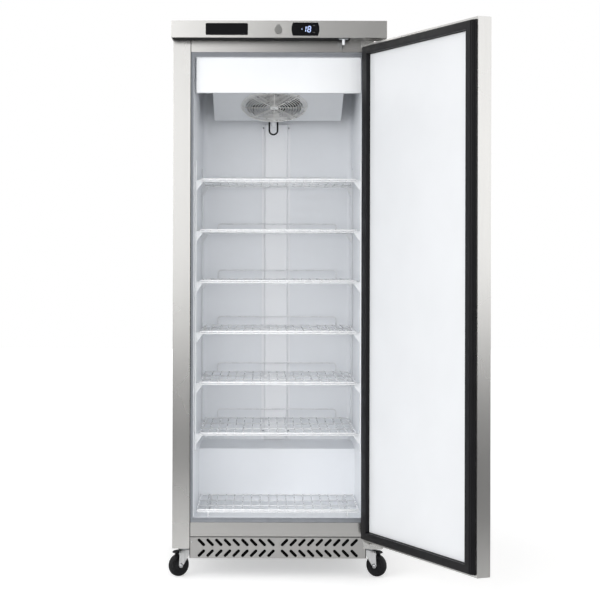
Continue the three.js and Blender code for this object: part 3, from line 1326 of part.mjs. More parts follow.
// drawn shut in the cabinet's frame, then turned about the hinge pins
const door = new THREE.Group();
door.position.set(HINGE_X, HINGE_Y, 0);
door.rotation.z = radians(DOOR_OPEN);
freezer.add(door);

function addToDoor(name, shape, finish) {
  const geometry = shape instanceof wasm.Manifold ? geometryOf(shape) : shape;
  return add(name, geometry.translate(-HINGE_X, -HINGE_Y, 0), finish, door);
}

const DOOR_X = SIDE;
const DOOR_LIP = 12;
const SOCKET_D = HINGE_PIN_L + 2;
const LOCK_POCKET_D = 12; // deeper than the cam reaches
const SHELL_IN = SHEET + GAP;

function hingeSockets(grow, depth) {
  return [[DOOR_TOP - depth, DOOR_TOP + 1], [DOOR_Z - 1, DOOR_Z + depth]].map(([z0, z1]) =>
    bore(HINGE_PIN_R + grow, z0, z1, 16).translate(HINGE_X, HINGE_Y, 0),
  );
}

// recess in the door's top edge that the lock's cam swings into
function lockPocket(grow, depth) {
  const reach = LOCK_CAM_L * 0.75 + grow;
  return box(
    LOCK_X - reach, LOCK_X + CAM_W / 2 + CAM_SLOT + grow,
    CAM_Y - CAM_SLOT - grow, CAM_Y + CAM_T + CAM_SLOT + grow, DOOR_TOP - depth, DOOR_TOP + 1,
  );
}

// folded steel pan with a lip round its back
function doorShell() {
  const outer = box(-DOOR_X, DOOR_X, DOOR_FRONT, DOOR_BACK, DOOR_Z, DOOR_TOP);
  const t = SHEET;
  const inner = box(-DOOR_X + t, DOOR_X - t, DOOR_FRONT + t, DOOR_BACK - t, DOOR_Z + t, DOOR_TOP - t);
  const mouth = box(
    -DOOR_X + DOOR_LIP, DOOR_X - DOOR_LIP, DOOR_BACK - 5, DOOR_BACK + 1,
    DOOR_Z + DOOR_LIP, DOOR_TOP - DOOR_LIP,
  );
  return cut(outer, inner, mouth, ...hingeSockets(0, SOCKET_D), lockPocket(0, 4));
}
addToDoor("door_shell", doorShell(), STAINLESS);

// a box behind the gasket, in from the inner panel's edges
function panelBox(inset, y0, y1) {
  return box(
    -DOOR_X + PANEL_INSET + inset, DOOR_X - PANEL_HINGE_INSET - inset, y0, y1,
    DOOR_Z + PANEL_INSET + inset, DOOR_TOP - PANEL_INSET - inset,
  );
}

// foam that fills the inner panel's dish, from inside the core
function panelFill(shrink) {
  const top = DOOR_BACK + INNER_PANEL_H - LINER_T - shrink;
  return panelBox(LINER_T + shrink, DOOR_BACK - SHELL_IN - 1, top);
}

function doorCore() {
  const x = DOOR_X - SHELL_IN;
  const [y0, y1] = [DOOR_FRONT + SHELL_IN, DOOR_BACK - SHELL_IN];
  const core = box(-x, x, y0, y1, DOOR_Z + SHELL_IN, DOOR_TOP - SHELL_IN);
  return cut(join(core, panelFill(GAP)), ...hingeSockets(GAP, SOCKET_D), lockPocket(1, LOCK_POCKET_D));
}
addToDoor("door_insulation", doorCore(), FOAM);

// gasket: bellows on a broad foot under a flat magnetic face, mitred at the corners.
// Rows from the foot up: height, outer inset on the free side and the ends, outer inset on the hinge side.
const gasketOuter = [
  [0, 0, 2], [4, 0, 2], [6.5, 2.5, 4], [9, 1, 3.5], [11.5, 3.5, 6.5], [14, 2, 8.5], [16.5, 5, 12.5],
  [GASKET_H - GAP, 5, 17.5],
];
const gasketInner = [[GASKET_H - GAP, 28.5, 46.5], [16.5, 28.5, 46.5], [14, 29, 44.5], [0, 29, 44.5]];
const gasketSection = [...gasketOuter, ...gasketInner].map(([rise, free, hinge]) => [
  GASKET_INSET + free, GASKET_INSET + hinge, GASKET_INSET + free, DOOR_BACK + GAP + rise,
]);
const gasket = mitredFrame(gasketSection, -DOOR_X, DOOR_X, DOOR_Z, DOOR_TOP);
addToDoor("door_gasket", gasket, BLACK_RUBBER);

// white inner panel, dished, inside the gasket
function doorPanel() {
  const inset = DOOR_LIP + GAP;
  const plug = box(
    -DOOR_X + inset, DOOR_X - inset, DOOR_BACK - SHELL_IN + GAP, DOOR_BACK, DOOR_Z + inset, DOOR_TOP - inset,
  );
  const dish = panelBox(0, DOOR_BACK - 1, DOOR_BACK + INNER_PANEL_H);
  return cut(join(dish, plug), panelFill(0));
}
addToDoor("door_liner", doorPanel(), WHITE_COAT);

export default freezer;
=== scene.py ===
"""Looks of the upright freezer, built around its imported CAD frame. Metres, +Z up, the cabinet faces -Y."""

import json
import math

import bmesh
import bpy
from mathutils import Matrix, Vector


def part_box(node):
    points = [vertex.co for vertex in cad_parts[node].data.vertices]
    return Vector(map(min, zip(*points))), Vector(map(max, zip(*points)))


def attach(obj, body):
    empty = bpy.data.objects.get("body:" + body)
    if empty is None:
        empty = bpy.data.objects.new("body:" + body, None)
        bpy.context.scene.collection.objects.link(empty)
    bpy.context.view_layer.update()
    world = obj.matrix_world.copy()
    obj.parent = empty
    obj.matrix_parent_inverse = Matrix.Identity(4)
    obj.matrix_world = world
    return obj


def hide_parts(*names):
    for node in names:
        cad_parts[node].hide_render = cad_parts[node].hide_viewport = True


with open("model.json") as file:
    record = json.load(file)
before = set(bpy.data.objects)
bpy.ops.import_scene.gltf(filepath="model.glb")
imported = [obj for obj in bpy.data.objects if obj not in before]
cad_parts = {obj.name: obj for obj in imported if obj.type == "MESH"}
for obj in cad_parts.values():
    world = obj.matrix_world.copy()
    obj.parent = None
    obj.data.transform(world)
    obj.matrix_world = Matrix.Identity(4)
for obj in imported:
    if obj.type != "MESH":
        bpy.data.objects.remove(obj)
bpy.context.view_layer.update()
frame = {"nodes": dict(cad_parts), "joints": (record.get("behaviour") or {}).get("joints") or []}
NODES = frame["nodes"]
MM = 0.001
TAU = 2 * math.pi
JOINTS = {joint["name"]: joint for joint in frame["joints"]}

# ---------------------------------------------------------------- camera and view

FOCAL_PX = 1629
IMAGE_PX = 600
EYE = Vector((-0.046, -5.777, 1.054))
PRINCIPAL = (264.6, 262.45)  # pixel of the level line straight ahead
ROLL = math.radians(0.13)  # the photograph leans this much clockwise

scene = bpy.context.scene
scene.view_settings.view_transform = "Standard"
camera = bpy.data.objects.new("camera", bpy.data.cameras.new("camera"))
scene.collection.objects.link(camera)
camera.location = EYE
camera.rotation_euler = (math.pi / 2, -ROLL, 0)
camera.data.sensor_width = 36
camera.data.lens = FOCAL_PX / IMAGE_PX * 36
camera.data.shift_x = (IMAGE_PX / 2 - PRINCIPAL[0]) / IMAGE_PX
camera.data.shift_y = (PRINCIPAL[1] - IMAGE_PX / 2) / IMAGE_PX
camera.data.clip_end = 60
scene.camera = camera

# ---------------------------------------------------------------- materials


def node_tree(name):
    """A new material with its node tree and its shader."""
    material = bpy.data.materials.new(name)
    material.use_nodes = True
    tree = material.node_tree
    return material, tree, tree.nodes["Principled BSDF"]


def link(tree, a, b):
    tree.links.new(a, b)


def feed(tree, socket, value):
    """Sets a socket to a number, or links another socket to it."""
    if isinstance(value, (int, float)):
        socket.default_value = value
    else:
        link(tree, value, socket)


def maths(tree, operation, *values):
    """The result of a maths node on numbers and sockets."""
    node = tree.nodes.new("ShaderNodeMath")
    node.operation = operation
    for socket, value in zip(node.inputs, values):
        feed(tree, socket, value)
    return node.outputs[0]


def stretched_noise(tree, scale, detail=3.0):
    """Noise in the object's own coordinates, in features per metre: one number, or one for each axis."""
    coords = tree.nodes.new("ShaderNodeTexCoord")
    mapping = tree.nodes.new("ShaderNodeMapping")
    mapping.inputs["Scale"].default_value = scale if isinstance(scale, (tuple, list)) else (scale,) * 3
    noise = tree.nodes.new("ShaderNodeTexNoise")
    noise.inputs["Scale"].default_value = 1.0
    noise.inputs["Detail"].default_value = detail
    link(tree, coords.outputs["Object"], mapping.inputs["Vector"])
    link(tree, mapping.outputs["Vector"], noise.inputs["Vector"])
    return noise.outputs["Fac"]


def ranged(tree, value, low, high, start=0.3, end=0.7):
    """Maps the stretch from start to end of a value to low and high, and holds it there outside them."""
    node = tree.nodes.new("ShaderNodeMapRange")
    node.inputs["From Min"].default_value = start
    node.inputs["From Max"].default_value = end
    node.inputs["To Min"].default_value = low
    node.inputs["To Max"].default_value = high
    link(tree, value, node.inputs["Value"])
    return node.outputs["Result"]


def tinted(tree, colour, factor, amount):
    """The colour, made darker or lighter by the amount as the factor runs from 0 to 1."""
    mix = tree.nodes.new("ShaderNodeMix")
    mix.data_type = "RGBA"
    mix.inputs[6].default_value = (*[c * (1 - amount) for c in colour], 1)
    mix.inputs[7].default_value = (*[min(1, c * (1 + amount)) for c in colour], 1)
    link(tree, factor, mix.inputs[0])
    return mix.outputs[2]


def bumped(tree, shader, height, distance, strength=1.0):
    """Relief from a height between 0 and 1 that stands for the distance in metres."""
    bump = tree.nodes.new("ShaderNodeBump")
    bump.inputs["Strength"].default_value = strength
    bump.inputs["Distance"].default_value = distance
    link(tree, height, bump.inputs["Height"])
    link(tree, bump.outputs["Normal"], shader.inputs["Normal"])


def surface(name, colour, roughness, metallic=0.0, tint=0.03, grain=40, relief=0.00005,
            relief_grain=900, rough_spread=0.05, specular=0.5):
    """A painted, moulded or plated surface. The tint and gloss vary by the grain, in features per metre.

    The relief is in metres, with its own grain.
    """
    material, tree, shader = node_tree(name)
    cloud = stretched_noise(tree, grain)
    link(tree, tinted(tree, colour, ranged(tree, cloud, 0, 1), tint), shader.inputs["Base Color"])
    gloss = ranged(tree, cloud, roughness - rough_spread, roughness + rough_spread)
    link(tree, gloss, shader.inputs["Roughness"])
    shader.inputs["Metallic"].default_value = metallic
    shader.inputs["Specular IOR Level"].default_value = specular
    bumped(tree, shader, stretched_noise(tree, relief_grain, 2), relief)
    return material


BRUSH_LINES = (1800.0, 12.0)  # features per metre across and along the lines
BRUSH_BANDS = (90.0, 1.5)  # broader bands, also across and along
BRUSH_TINT = 0.035
BRUSH_RELIEF = 0.000006
BRUSH_RELIEF_STRENGTH = 0.4
BRUSH_CLOUDS = 3  # soft patches of gloss per metre
BRUSH_CLOUD_SPREAD = 0.015
HIGHLIGHT_ALONG = {"x": (0, 0, 1), "z": (1, 0.2, 0)}  # highlights stretch across the lines


def brushed(name, colour, roughness, lines, stretch=0.7):
    """Brushed sheet steel. The lines run along the axis "x" or "z" of the piece."""
    material, tree, shader = node_tree(name)
    fine, broad = [
        [along if axis == lines else across for axis in "xyz"] for across, along in (BRUSH_LINES, BRUSH_BANDS)
    ]
    streaks = ranged(tree, stretched_noise(tree, fine, 2), 0, 0.7)
    bands = ranged(tree, stretched_noise(tree, broad, 2), 0, 0.3)
    shade = tinted(tree, colour, maths(tree, "ADD", streaks, bands), BRUSH_TINT)
    link(tree, shade, shader.inputs["Base Color"])
    cloud = stretched_noise(tree, BRUSH_CLOUDS)
    gloss = ranged(tree, cloud, roughness - BRUSH_CLOUD_SPREAD, roughness + BRUSH_CLOUD_SPREAD)
    link(tree, gloss, shader.inputs["Roughness"])
    shader.inputs["Metallic"].default_value = 1
    shader.inputs["Anisotropic"].default_value = stretch
    tangent = tree.nodes.new("ShaderNodeVectorTransform")
    tangent.vector_type = "VECTOR"
    tangent.convert_from = "OBJECT"
    tangent.convert_to = "WORLD"
    tangent.inputs[0].default_value = HIGHLIGHT_ALONG[lines]
    link(tree, tangent.outputs[0], shader.inputs["Tangent"])
    bumped(tree, shader, streaks, BRUSH_RELIEF, BRUSH_RELIEF_STRENGTH)
    return material


def glowing(name, colour, strength):
    """A surface that gives off its own light."""
    material, tree, shader = node_tree(name)
    cloud = stretched_noise(tree, 300)
    link(tree, tinted(tree, colour, cloud, 0.1), shader.inputs["Emission Color"])
    shader.inputs["Base Color"].default_value = (*colour, 1)
    shader.inputs["Emission Strength"].default_value = strength
    return material


STEEL = (0.66, 0.653, 0.638)
STEEL_ACROSS = brushed("stainless_across", STEEL, 0.25, "x")
STEEL_UPRIGHT = brushed("stainless_upright", STEEL, 0.27, "z")
# A darker copy of the stainless for the header and sill rails is painted shade, for the shadow the header lies
# in under the canopy.
SHADED_RAIL_STEEL = brushed("stainless_rails_painted_shade", (0.56, 0.553, 0.54), 0.2, "x")
KICK_STEEL = brushed("stainless_kick", (0.48, 0.475, 0.465), 0.33, "x", 0.5)
GALVANISED = surface("galvanised", (0.50, 0.515, 0.53), 0.45, 0.9, 0.16, 60, 0.00003)
ZINC = surface("zinc_plate", (0.62, 0.63, 0.645), 0.26, 1.0, 0.08, 25, 0.00003)
# The forks' tint runs in long upright streaks, a tenth lighter or darker: painted reflection streaks of the
# polished plating.
FORK_ZINC = surface("fork_zinc", (0.80, 0.805, 0.81), 0.2, 1.0, 0.1, (180, 180, 6), 0.00002)
LOCK_METAL = surface("lock_metal", (0.27, 0.27, 0.262), 0.34, 0.85, 0.1, 60, 0.00004)
GUARD_STEEL = surface("guard_steel", (0.86, 0.855, 0.835), 0.3, 0.4, 0.06, 40, 0.00002)
FINS = surface("fin_aluminium", (0.42, 0.425, 0.44), 0.45, 0.9, 0.08, 60, 0.00003)
COPPER = surface("copper", (0.60, 0.30, 0.17), 0.32, 1.0, 0.15, 60, 0.00003)
WHITE_COAT = surface("white_coat", (0.795, 0.81, 0.83), 0.32, 0, 0.015, 6, 0.00004, 450, 0.03)
LINER_WHITE = surface("liner_white", (0.885, 0.905, 0.935), 0.36, 0, 0.015, 5, 0.00006, 220, 0.04)
DUCT_WHITE = surface("duct_white", (0.955, 0.965, 0.985), 0.34, 0, 0.012, 6, 0.00005, 260, 0.04)
WIRE_WHITE = surface("wire_coat", (0.84, 0.85, 0.865), 0.28, 0, 0.02, 30, 0.00003)
BREAKER_GREY = surface("breaker_grey", (0.20, 0.213, 0.232), 0.4, 0, 0.06, 20, specular=0.3)
GREY_PLASTIC = surface("grey_plastic", (0.33, 0.35, 0.37), 0.42, 0, 0.06, 20)
BLACK_PLASTIC = surface("black_plastic", (0.003, 0.003, 0.004), 0.24, 0, 0.2, 30, 0.00001, specular=0.1)
VENT_BLACK = surface("vent_black", (0.002, 0.002, 0.002), 0.9, 0, 0.3, 90, 0.0003, 400, specular=0.02)
MATT_BLACK = surface("matt_black", (0.007, 0.007, 0.008), 0.6, 0, 0.2, 60, 0.00008, specular=0.2)
BLACK_PAINT = surface("black_paint", (0.020, 0.021, 0.023), 0.38, 0, 0.2, 40, 0.00008)
GASKET = surface("gasket_rubber", (0.007, 0.007, 0.008), 0.46, 0, 0.15, 25, 0.00005, 500, specular=0.18)
TYRE = surface("tyre_rubber", (0.007, 0.007, 0.008), 0.5, 0, 0.3, 70, 0.00012, 600, specular=0.22)
FOAM = surface("foam", (0.72, 0.62, 0.36), 0.9, 0, 0.12, 80, 0.0006, 260)
DIGIT_BLUE = glowing("display_segments", (0.50, 0.62, 1.0), 0.8)

# ---------------------------------------------------------------- CAD pieces that stay

# A node name or its start, with its material and the radius of its edges in millimetres.
CAD_LOOKS = {
    "side_panel": (STEEL_UPRIGHT, 0.5), "top_panel": (GALVANISED, 0.5), "back_panel": (GALVANISED, 0.4),
    "header_rail": (SHADED_RAIL_STEEL, 0.5), "sill_rail": (SHADED_RAIL_STEEL, 0.5), "base_pan": (GALVANISED, 0.4),
    "breaker_strip": (BREAKER_GREY, 0.4), "liner": (LINER_WHITE, 0.8), "cabinet_insulation": (FOAM, 0),
    "canopy": (STEEL_ACROSS, 0.6), "badge_plate": (BLACK_PLASTIC, 0.5), "controller": (BLACK_PLASTIC, 1.2),
    "lock_housing": (LOCK_METAL, 0.8), "lock_barrel": (LOCK_METAL, 0.4),
    "door_switch_case": (GREY_PLASTIC, 0.6), "door_switch_plunger": (WHITE_COAT, 0.3),
    "evaporator_cover": (WHITE_COAT, 0.6), "evaporator_pan": (WHITE_COAT, 0.5), "evaporator_coil": (FINS, 0),
    "evaporator_fan_blades": (GREY_PLASTIC, 0), "evaporator_fan_motor": (BLACK_PAINT, 1),
    "fan_guard": (GUARD_STEEL, 0), "drain_hose": (GASKET, 0),
    "air_duct": (DUCT_WHITE, 1), "shelf_rail": (WHITE_COAT, 0.8), "shelf_": (WIRE_WHITE, 0),
    "bottom_shelf": (WIRE_WHITE, 0), "kick_panel": (KICK_STEEL, 0), "compressor": (BLACK_PAINT, 1.5),
    "condenser": (BLACK_PAINT, 0), "condenser_fan_blades": (GREY_PLASTIC, 0),
    "condenser_fan_shroud": (BLACK_PAINT, 0.5), "filter_drier": (COPPER, 0),
    "drip_tray": (MATT_BLACK, 0.8), "rear_grille": (GALVANISED, 0.3), "castor_fork": (FORK_ZINC, 0.6),
    "castor_wheel": (TYRE, 0), "brake_pedal": (MATT_BLACK, 0.8), "hinge_bracket": (STEEL_ACROSS, 0.8),
    "door_shell": (STEEL_UPRIGHT, 0.5), "door_insulation": (FOAM, 0), "door_gasket": (GASKET, 0),
    "door_liner": (WHITE_COAT, 1.6),
}
WELD_REACH = 0.00001  # metres
BEVEL_FROM = math.radians(40)
CREASE_BEVELLED, CREASE_PLAIN = math.radians(50), math.radians(35)


def look_of(name):
    """The look with the longest key that the name starts with."""
    return CAD_LOOKS[max((key for key in CAD_LOOKS if name.startswith(key)), key=len)]


def dress(node):
    """The CAD node's own material, softened edges and smooth curved faces."""
    material, edge = look_of(node.name)
    node.data.materials.clear()
    node.data.materials.append(material)
    weld = node.modifiers.new("weld", "WELD")
    weld.merge_threshold = WELD_REACH
    if edge:
        bevel = node.modifiers.new("edges", "BEVEL")
        bevel.width = edge * MM
        bevel.segments = 2
        bevel.limit_method = "ANGLE"
        bevel.angle_limit = BEVEL_FROM
    crease = node.modifiers.new("creases", "EDGE_SPLIT")
    crease.split_angle = CREASE_BEVELLED if edge else CREASE_PLAIN
    flat = node.modifiers.new("flat_faces", "WEIGHTED_NORMAL")
    flat.weight = 100
    for polygon in node.data.polygons:
        polygon.use_smooth = True


for node in NODES.values():
    dress(node)

# ---------------------------------------------------------------- mesh building


def piece(name, mesh, material, body, replaces=(), smooth=40):
    """A finished piece on a body, from a bmesh or a mesh."""
    if isinstance(mesh, bmesh.types.BMesh):
        built = bpy.data.meshes.new(name)
        bmesh.ops.recalc_face_normals(mesh, faces=mesh.faces)
        mesh.to_mesh(built)
        mesh.free()
        mesh = built
    for polygon in mesh.polygons:
        polygon.use_smooth = True
    mesh.materials.clear()
    mesh.materials.append(material)
    if smooth:
        mesh.set_sharp_from_angle(angle=math.radians(smooth))
    thing = bpy.data.objects.new(name, mesh)
    scene.collection.objects.link(thing)
    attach(thing, body)
    if replaces:
        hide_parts(*replaces)
    return thing


def place(x, y, z, turn=(0, 0, 0)):
    """A matrix from millimetres and degrees."""
    rotation = Matrix.Identity(4)
    for angle, axis in zip(turn, "XYZ"):
        rotation = Matrix.Rotation(math.radians(angle), 4, axis) @ rotation
    return Matrix.Translation(Vector((x, y, z)) * MM) @ rotation


def lathe(bm, profile, at, segments=32, closed=False):
    """Turns [radius, height] points in millimetres about the matrix's Z. A radius of 0 closes an end."""
    rings = []
    for r, z in profile:
        if r == 0:
            rings.append([bm.verts.new(at @ Vector((0, 0, z * MM)))])
        else:
            turns = [TAU * i / segments for i in range(segments)]
            rings.append([
                bm.verts.new(at @ Vector((r * MM * math.cos(a), r * MM * math.sin(a), z * MM))) for a in turns
            ])
    pairs = list(zip(rings, rings[1:])) + ([(rings[-1], rings[0])] if closed else [])
    for low, high in pairs:
        for i in range(segments):
            j = (i + 1) % segments
            corners = [low[i % len(low)], low[j % len(low)], high[j % len(high)], high[i % len(high)]]
            bm.faces.new(list(dict.fromkeys(corners)))


def tube(bm, path, radius, sides=8, closed=False, at=Matrix.Identity(4)):
    """A round wire of the radius along points, all in millimetres."""
    points = [at @ (Vector(p) * MM) for p in path]
    count = len(points)
    rings = []
    normal = None
    for i, p in enumerate(points):
        before = points[i - 1] if i or closed else p
        after = points[(i + 1) % count] if i < count - 1 or closed else p
        along = (after - before).normalized()
        if normal is None:
            normal = along.orthogonal().normalized()
        normal = (normal - along * normal.dot(along)).normalized()
        side = along.cross(normal)
        a = (p - before).normalized() if (p - before).length else along
        b = (after - p).normalized() if (after - p).length else along
        half = max(0.5, math.cos(a.angle(b) / 2)) if a.length and b.length else 1
        bend = (b - a).normalized() if (b - a).length > 1e-6 else Vector()
        ring = []
        for k in range(sides):
            angle = TAU * k / sides
            offset = (normal * math.cos(angle) + side * math.sin(angle)) * radius * MM
            offset += bend * offset.dot(bend) * (1 / half - 1)
            ring.append(bm.verts.new(p + offset))
        rings.append(ring)
    last = count if closed else count - 1
    for i in range(last):
        low, high = rings[i], rings[(i + 1) % count]
        turn = 0
        if closed and i == last - 1:  # the frame may come back turned
            turn = min(range(sides), key=lambda t: (high[t].co - low[0].co).length)
        for k in range(sides):
            after = (k + 1) % sides
            bm.faces.new((low[k], low[after], high[(after + turn) % sides], high[(k + turn) % sides]))
    if not closed:
        bm.faces.new(list(reversed(rings[0])))
        bm.faces.new(rings[-1])


def rounded(points, radius, steps=4, closed=False):
    """A polyline in millimetres with its corners rounded off."""
    count = len(points)
    out = []
    for i, p in enumerate(points):
        p = Vector(p)
        if not closed and i in (0, count - 1):
            out.append(p)
            continue
        a, b = Vector(points[i - 1]) - p, Vector(points[(i + 1) % count]) - p
        reach = min(radius, a.length / 2.01, b.length / 2.01)
        start, end = p + a.normalized() * reach, p + b.normalized() * reach
        for k in range(steps + 1):
            t = k / steps
            out.append(start * (1 - t) ** 2 + p * 2 * t * (1 - t) + end * t ** 2)
    return out


def cuboid(bm, low, high, at=Matrix.Identity(4)):
    """A box between two corners in millimetres."""
    size = Vector(high) - Vector(low)
    middle = (Vector(high) + Vector(low)) / 2
    matrix = at @ Matrix.Translation(middle * MM) @ Matrix.Diagonal((*(size * MM), 1))
    bmesh.ops.create_cube(bm, size=1, matrix=matrix)


def plate(name, outer, holes, thickness, edge, at):
    """A flat plate with rounded edges, from closed outlines in millimetres in the matrix's XY."""
    curve = bpy.data.curves.new(name, "CURVE")
    curve.dimensions = "2D"
    curve.fill_mode = "BOTH"
    curve.extrude = (thickness / 2 - edge) * MM
    curve.bevel_depth = edge * MM
    curve.bevel_resolution = 1
    curve.offset = -edge * MM
    for outline in [outer, *holes]:
        spline = curve.splines.new("POLY")
        spline.use_cyclic_u = True
        spline.points.add(len(outline) - 1)
        for point, (x, y) in zip(spline.points, outline):
            point.co = (x * MM, y * MM, 0, 1)
    thing = bpy.data.objects.new(name, curve)
    scene.collection.objects.link(thing)
    bpy.context.view_layer.update()
    mesh = bpy.data.meshes.new_from_object(thing.evaluated_get(bpy.context.evaluated_depsgraph_get()))
    bpy.data.objects.remove(thing)
    mesh.transform(at)
    return mesh


def circle(x, y, r, count=32, start=0.0, sweep=TAU):
    """Points on a circle, or on the arc of a sweep with both its ends."""
    steps = count if abs(sweep - TAU) < 1e-6 else count - 1
    turns = [start + sweep * i / steps for i in range(count)]
    return [(x + r * math.cos(a), y + r * math.sin(a)) for a in turns]


def round_box(x, y, w, h, r, steps=5):
    """A rectangle about its middle with rounded corners."""
    points = []
    for cx, cy, start in ((1, 1, 0), (-1, 1, 90), (-1, -1, 180), (1, -1, 270)):
        middle = (x + cx * (w / 2 - r), y + cy * (h / 2 - r))
        points += circle(*middle, r, steps, math.radians(start), math.pi / 2)
    return points


FACE_FRONT = (90, 0, 0)  # turns a piece drawn in XY, +Z outwards, to face -Y


def screws(name, places, body, r):
    """Pan head screws with a socket and heads of the radius, each given by its matrix with +Z outwards."""
    bm = bmesh.new()
    profile = [
        (r, 0), (r, 0.25 * r), (0.88 * r, 0.48 * r), (0.62 * r, 0.62 * r), (0.34 * r, 0.66 * r),
        (0.30 * r, 0.30 * r), (0, 0.22 * r),
    ]
    for at in places:
        lathe(bm, profile, at, 14)
    piece(name, bm, ZINC, body, smooth=50)


# ---------------------------------------------------------------- shelves

SHELF = [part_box("shelf_%d" % (i + 1)) for i in range(6)]
FRAME_INSET = 2.8  # from the shelf's outside to the middle of its frame wire
SHELF_X = SHELF[0][1].x / MM - FRAME_INSET
WIRE_COUNT = 17
FRAME_WIRE, DECK_WIRE, CROSS_WIRE, LOW_WIRE, UPSTAND_WIRE = 2.6, 1.9, 2.4, 1.9, 2.0  # radii
FRAME_Z, CROSS_Z, LOW_WIRE_Z = -3, -6.2, -9.4
UPSTAND_X, UPSTAND_H = 218, 32.0
RUNNER_X, RUNNER_Z = 233, -24


def shelf_mesh(name, half, depth, on_clips):
    """A wire deck from y 0 back to its depth, its top at z 0. Its long wires bend down over the front.

    A shelf on clips has a stop along its back, and the bottom rack has runners.
    """
    bm = bmesh.new()
    front, back = FRAME_WIRE, depth - FRAME_WIRE
    loop = [(-half, front, FRAME_Z), (half, front, FRAME_Z), (half, back, FRAME_Z), (-half, back, FRAME_Z)]
    tube(bm, rounded(loop, 13, 4, True), FRAME_WIRE, 10, True)
    for i in range(1, WIRE_COUNT + 1):
        x = -half + i * 2 * half / (WIRE_COUNT + 1)
        path = [(x, depth - 2, -DECK_WIRE), (x, 2.0, -DECK_WIRE), (x, 2.0, LOW_WIRE_Z)]
        tube(bm, rounded(path, 3.5, 3), DECK_WIRE, 7)
    for at in (depth / 3, depth / 1.5):
        tube(bm, [(-half, at, CROSS_Z), (half, at, CROSS_Z)], CROSS_WIRE, 8)
    under = ((-half, FRAME_Z), (-half, LOW_WIRE_Z), (half, LOW_WIRE_Z), (half, FRAME_Z))
    tube(bm, rounded([(x, front, z) for x, z in under], 5, 3), LOW_WIRE, 8)
    if on_clips:
        x, top = UPSTAND_X, UPSTAND_H - UPSTAND_WIRE
        stop = [(-x, back, -2), (-x, back, top), (x, back, top), (x, back, -2)]
        tube(bm, rounded(stop, 12, 4), UPSTAND_WIRE, 8)
    else:
        for x in (-RUNNER_X, RUNNER_X):
            sled = [(x, 3, -4), (x, 3, RUNNER_Z), (x, depth - 3, RUNNER_Z), (x, depth - 3, -4)]
            tube(bm, rounded(sled, 7, 3), DECK_WIRE, 8)
    mesh = bpy.data.meshes.new(name)
    bmesh.ops.recalc_face_normals(bm, faces=bm.faces)
    bm.to_mesh(mesh)
    bm.free()
    return mesh


shelf_depth = (SHELF[0][1].y - SHELF[0][0].y) / MM
hung = shelf_mesh("hung_shelf", SHELF_X, shelf_depth, True)
for i, (low, high) in enumerate(SHELF):
    mesh = hung.copy()
    mesh.transform(Matrix.Translation((0, low.y, high.z - UPSTAND_H * MM)))
    piece("shelf_wires_%d" % (i + 1), mesh, WIRE_WHITE, "shelf_%d" % (i + 1), ("shelf_%d" % (i + 1),), 0)

rack_low, rack_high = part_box("bottom_shelf")
rack_depth = (rack_high.y - rack_low.y) / MM
rack = shelf_mesh("rack", rack_high.x / MM - FRAME_INSET, rack_depth, False)
rack.transform(Matrix.Translation((0, rack_low.y, rack_high.z)))
piece("bottom_rack_wires", rack, WIRE_WHITE, "bottom_shelf", ("bottom_shelf",), 0)

# ---------------------------------------------------------------- evaporator fan

FAN_TILT = -21
FAN_AT = Matrix.Translation(JOINTS["evaporator_fan_spin"]["pos_m"]) @ place(0, 0, 0, (FAN_TILT, 0, 0))
GUARD_R, GUARD_HUB = 118.0, 15.0
GUARD_Z, RIM_Z = -9.0, -1.9  # the fan's +Z runs up into the pan
GUARD_RINGS, GUARD_RIBS, GUARD_FEET = 10, 8, 4
RING_WIRE, RIB_WIRE = 1.45, 1.7


def guard():
    """Concentric rings on ribs that bend down to a rim on the pan, and a pressed hub plate."""
    bm = bmesh.new()
    plane, hub, outer = GUARD_Z, GUARD_HUB, GUARD_R - 6
    for i in range(GUARD_RINGS):
        r = hub + 8 + (outer - hub - 14) * i / (GUARD_RINGS - 1)
        tube(bm, [(*p, plane) for p in circle(0, 0, r, 56)], RING_WIRE, 6, True, FAN_AT)
    edge = ((outer - 1, -7.4, 1.5), (GUARD_R - 3, -4.2, RIB_WIRE), (GUARD_R - 1.9, RIM_Z, RIB_WIRE))
    for r, z, wire in edge:
        tube(bm, [(*p, z) for p in circle(0, 0, r, 64)], wire, 6, True, FAN_AT)
    rib = ((hub - 3, plane + 2.2), (outer - 6, plane + 2.2), (GUARD_R - 2, RIM_Z))
    for i in range(GUARD_RIBS):
        a = TAU * (i + 2) / GUARD_RIBS
        path = [(r * math.cos(a), r * math.sin(a), z) for r, z in rib]
        tube(bm, rounded(path, 9, 3), RIB_WIRE, 6, at=FAN_AT)
    pressed = [
        (0, plane - 1.8), (hub - 5, plane - 1.4), (hub, plane + 0.2), (hub, plane + 3.4), (0, plane + 3.4),
    ]
    lathe(bm, pressed, FAN_AT, 32)
    for i in range(GUARD_FEET):
        a = TAU * (i + 0.5) / GUARD_FEET
        x, y = GUARD_R * MM * math.cos(a), GUARD_R * MM * math.sin(a)
        foot = FAN_AT @ Matrix.Translation((x, y, -0.3 * MM))
        lathe(bm, [(0, 0.2), (4.5, 0.2), (4.5, -0.9), (2, -2.2), (0, -2.2)], foot, 12)
    return bm


piece("fan_guard_wires", guard(), GUARD_STEEL, "cabinet", ("fan_guard",), 50)


BLADES, BLADE_ROWS, BLADE_COLUMNS = 5, 9, 8
BLADE_HALF = 0.8  # half of their thickness
BLADE_CAMBER = 3.0
BLADE_REACH = 0.62  # how far they may rise and fall, against the hub's depth


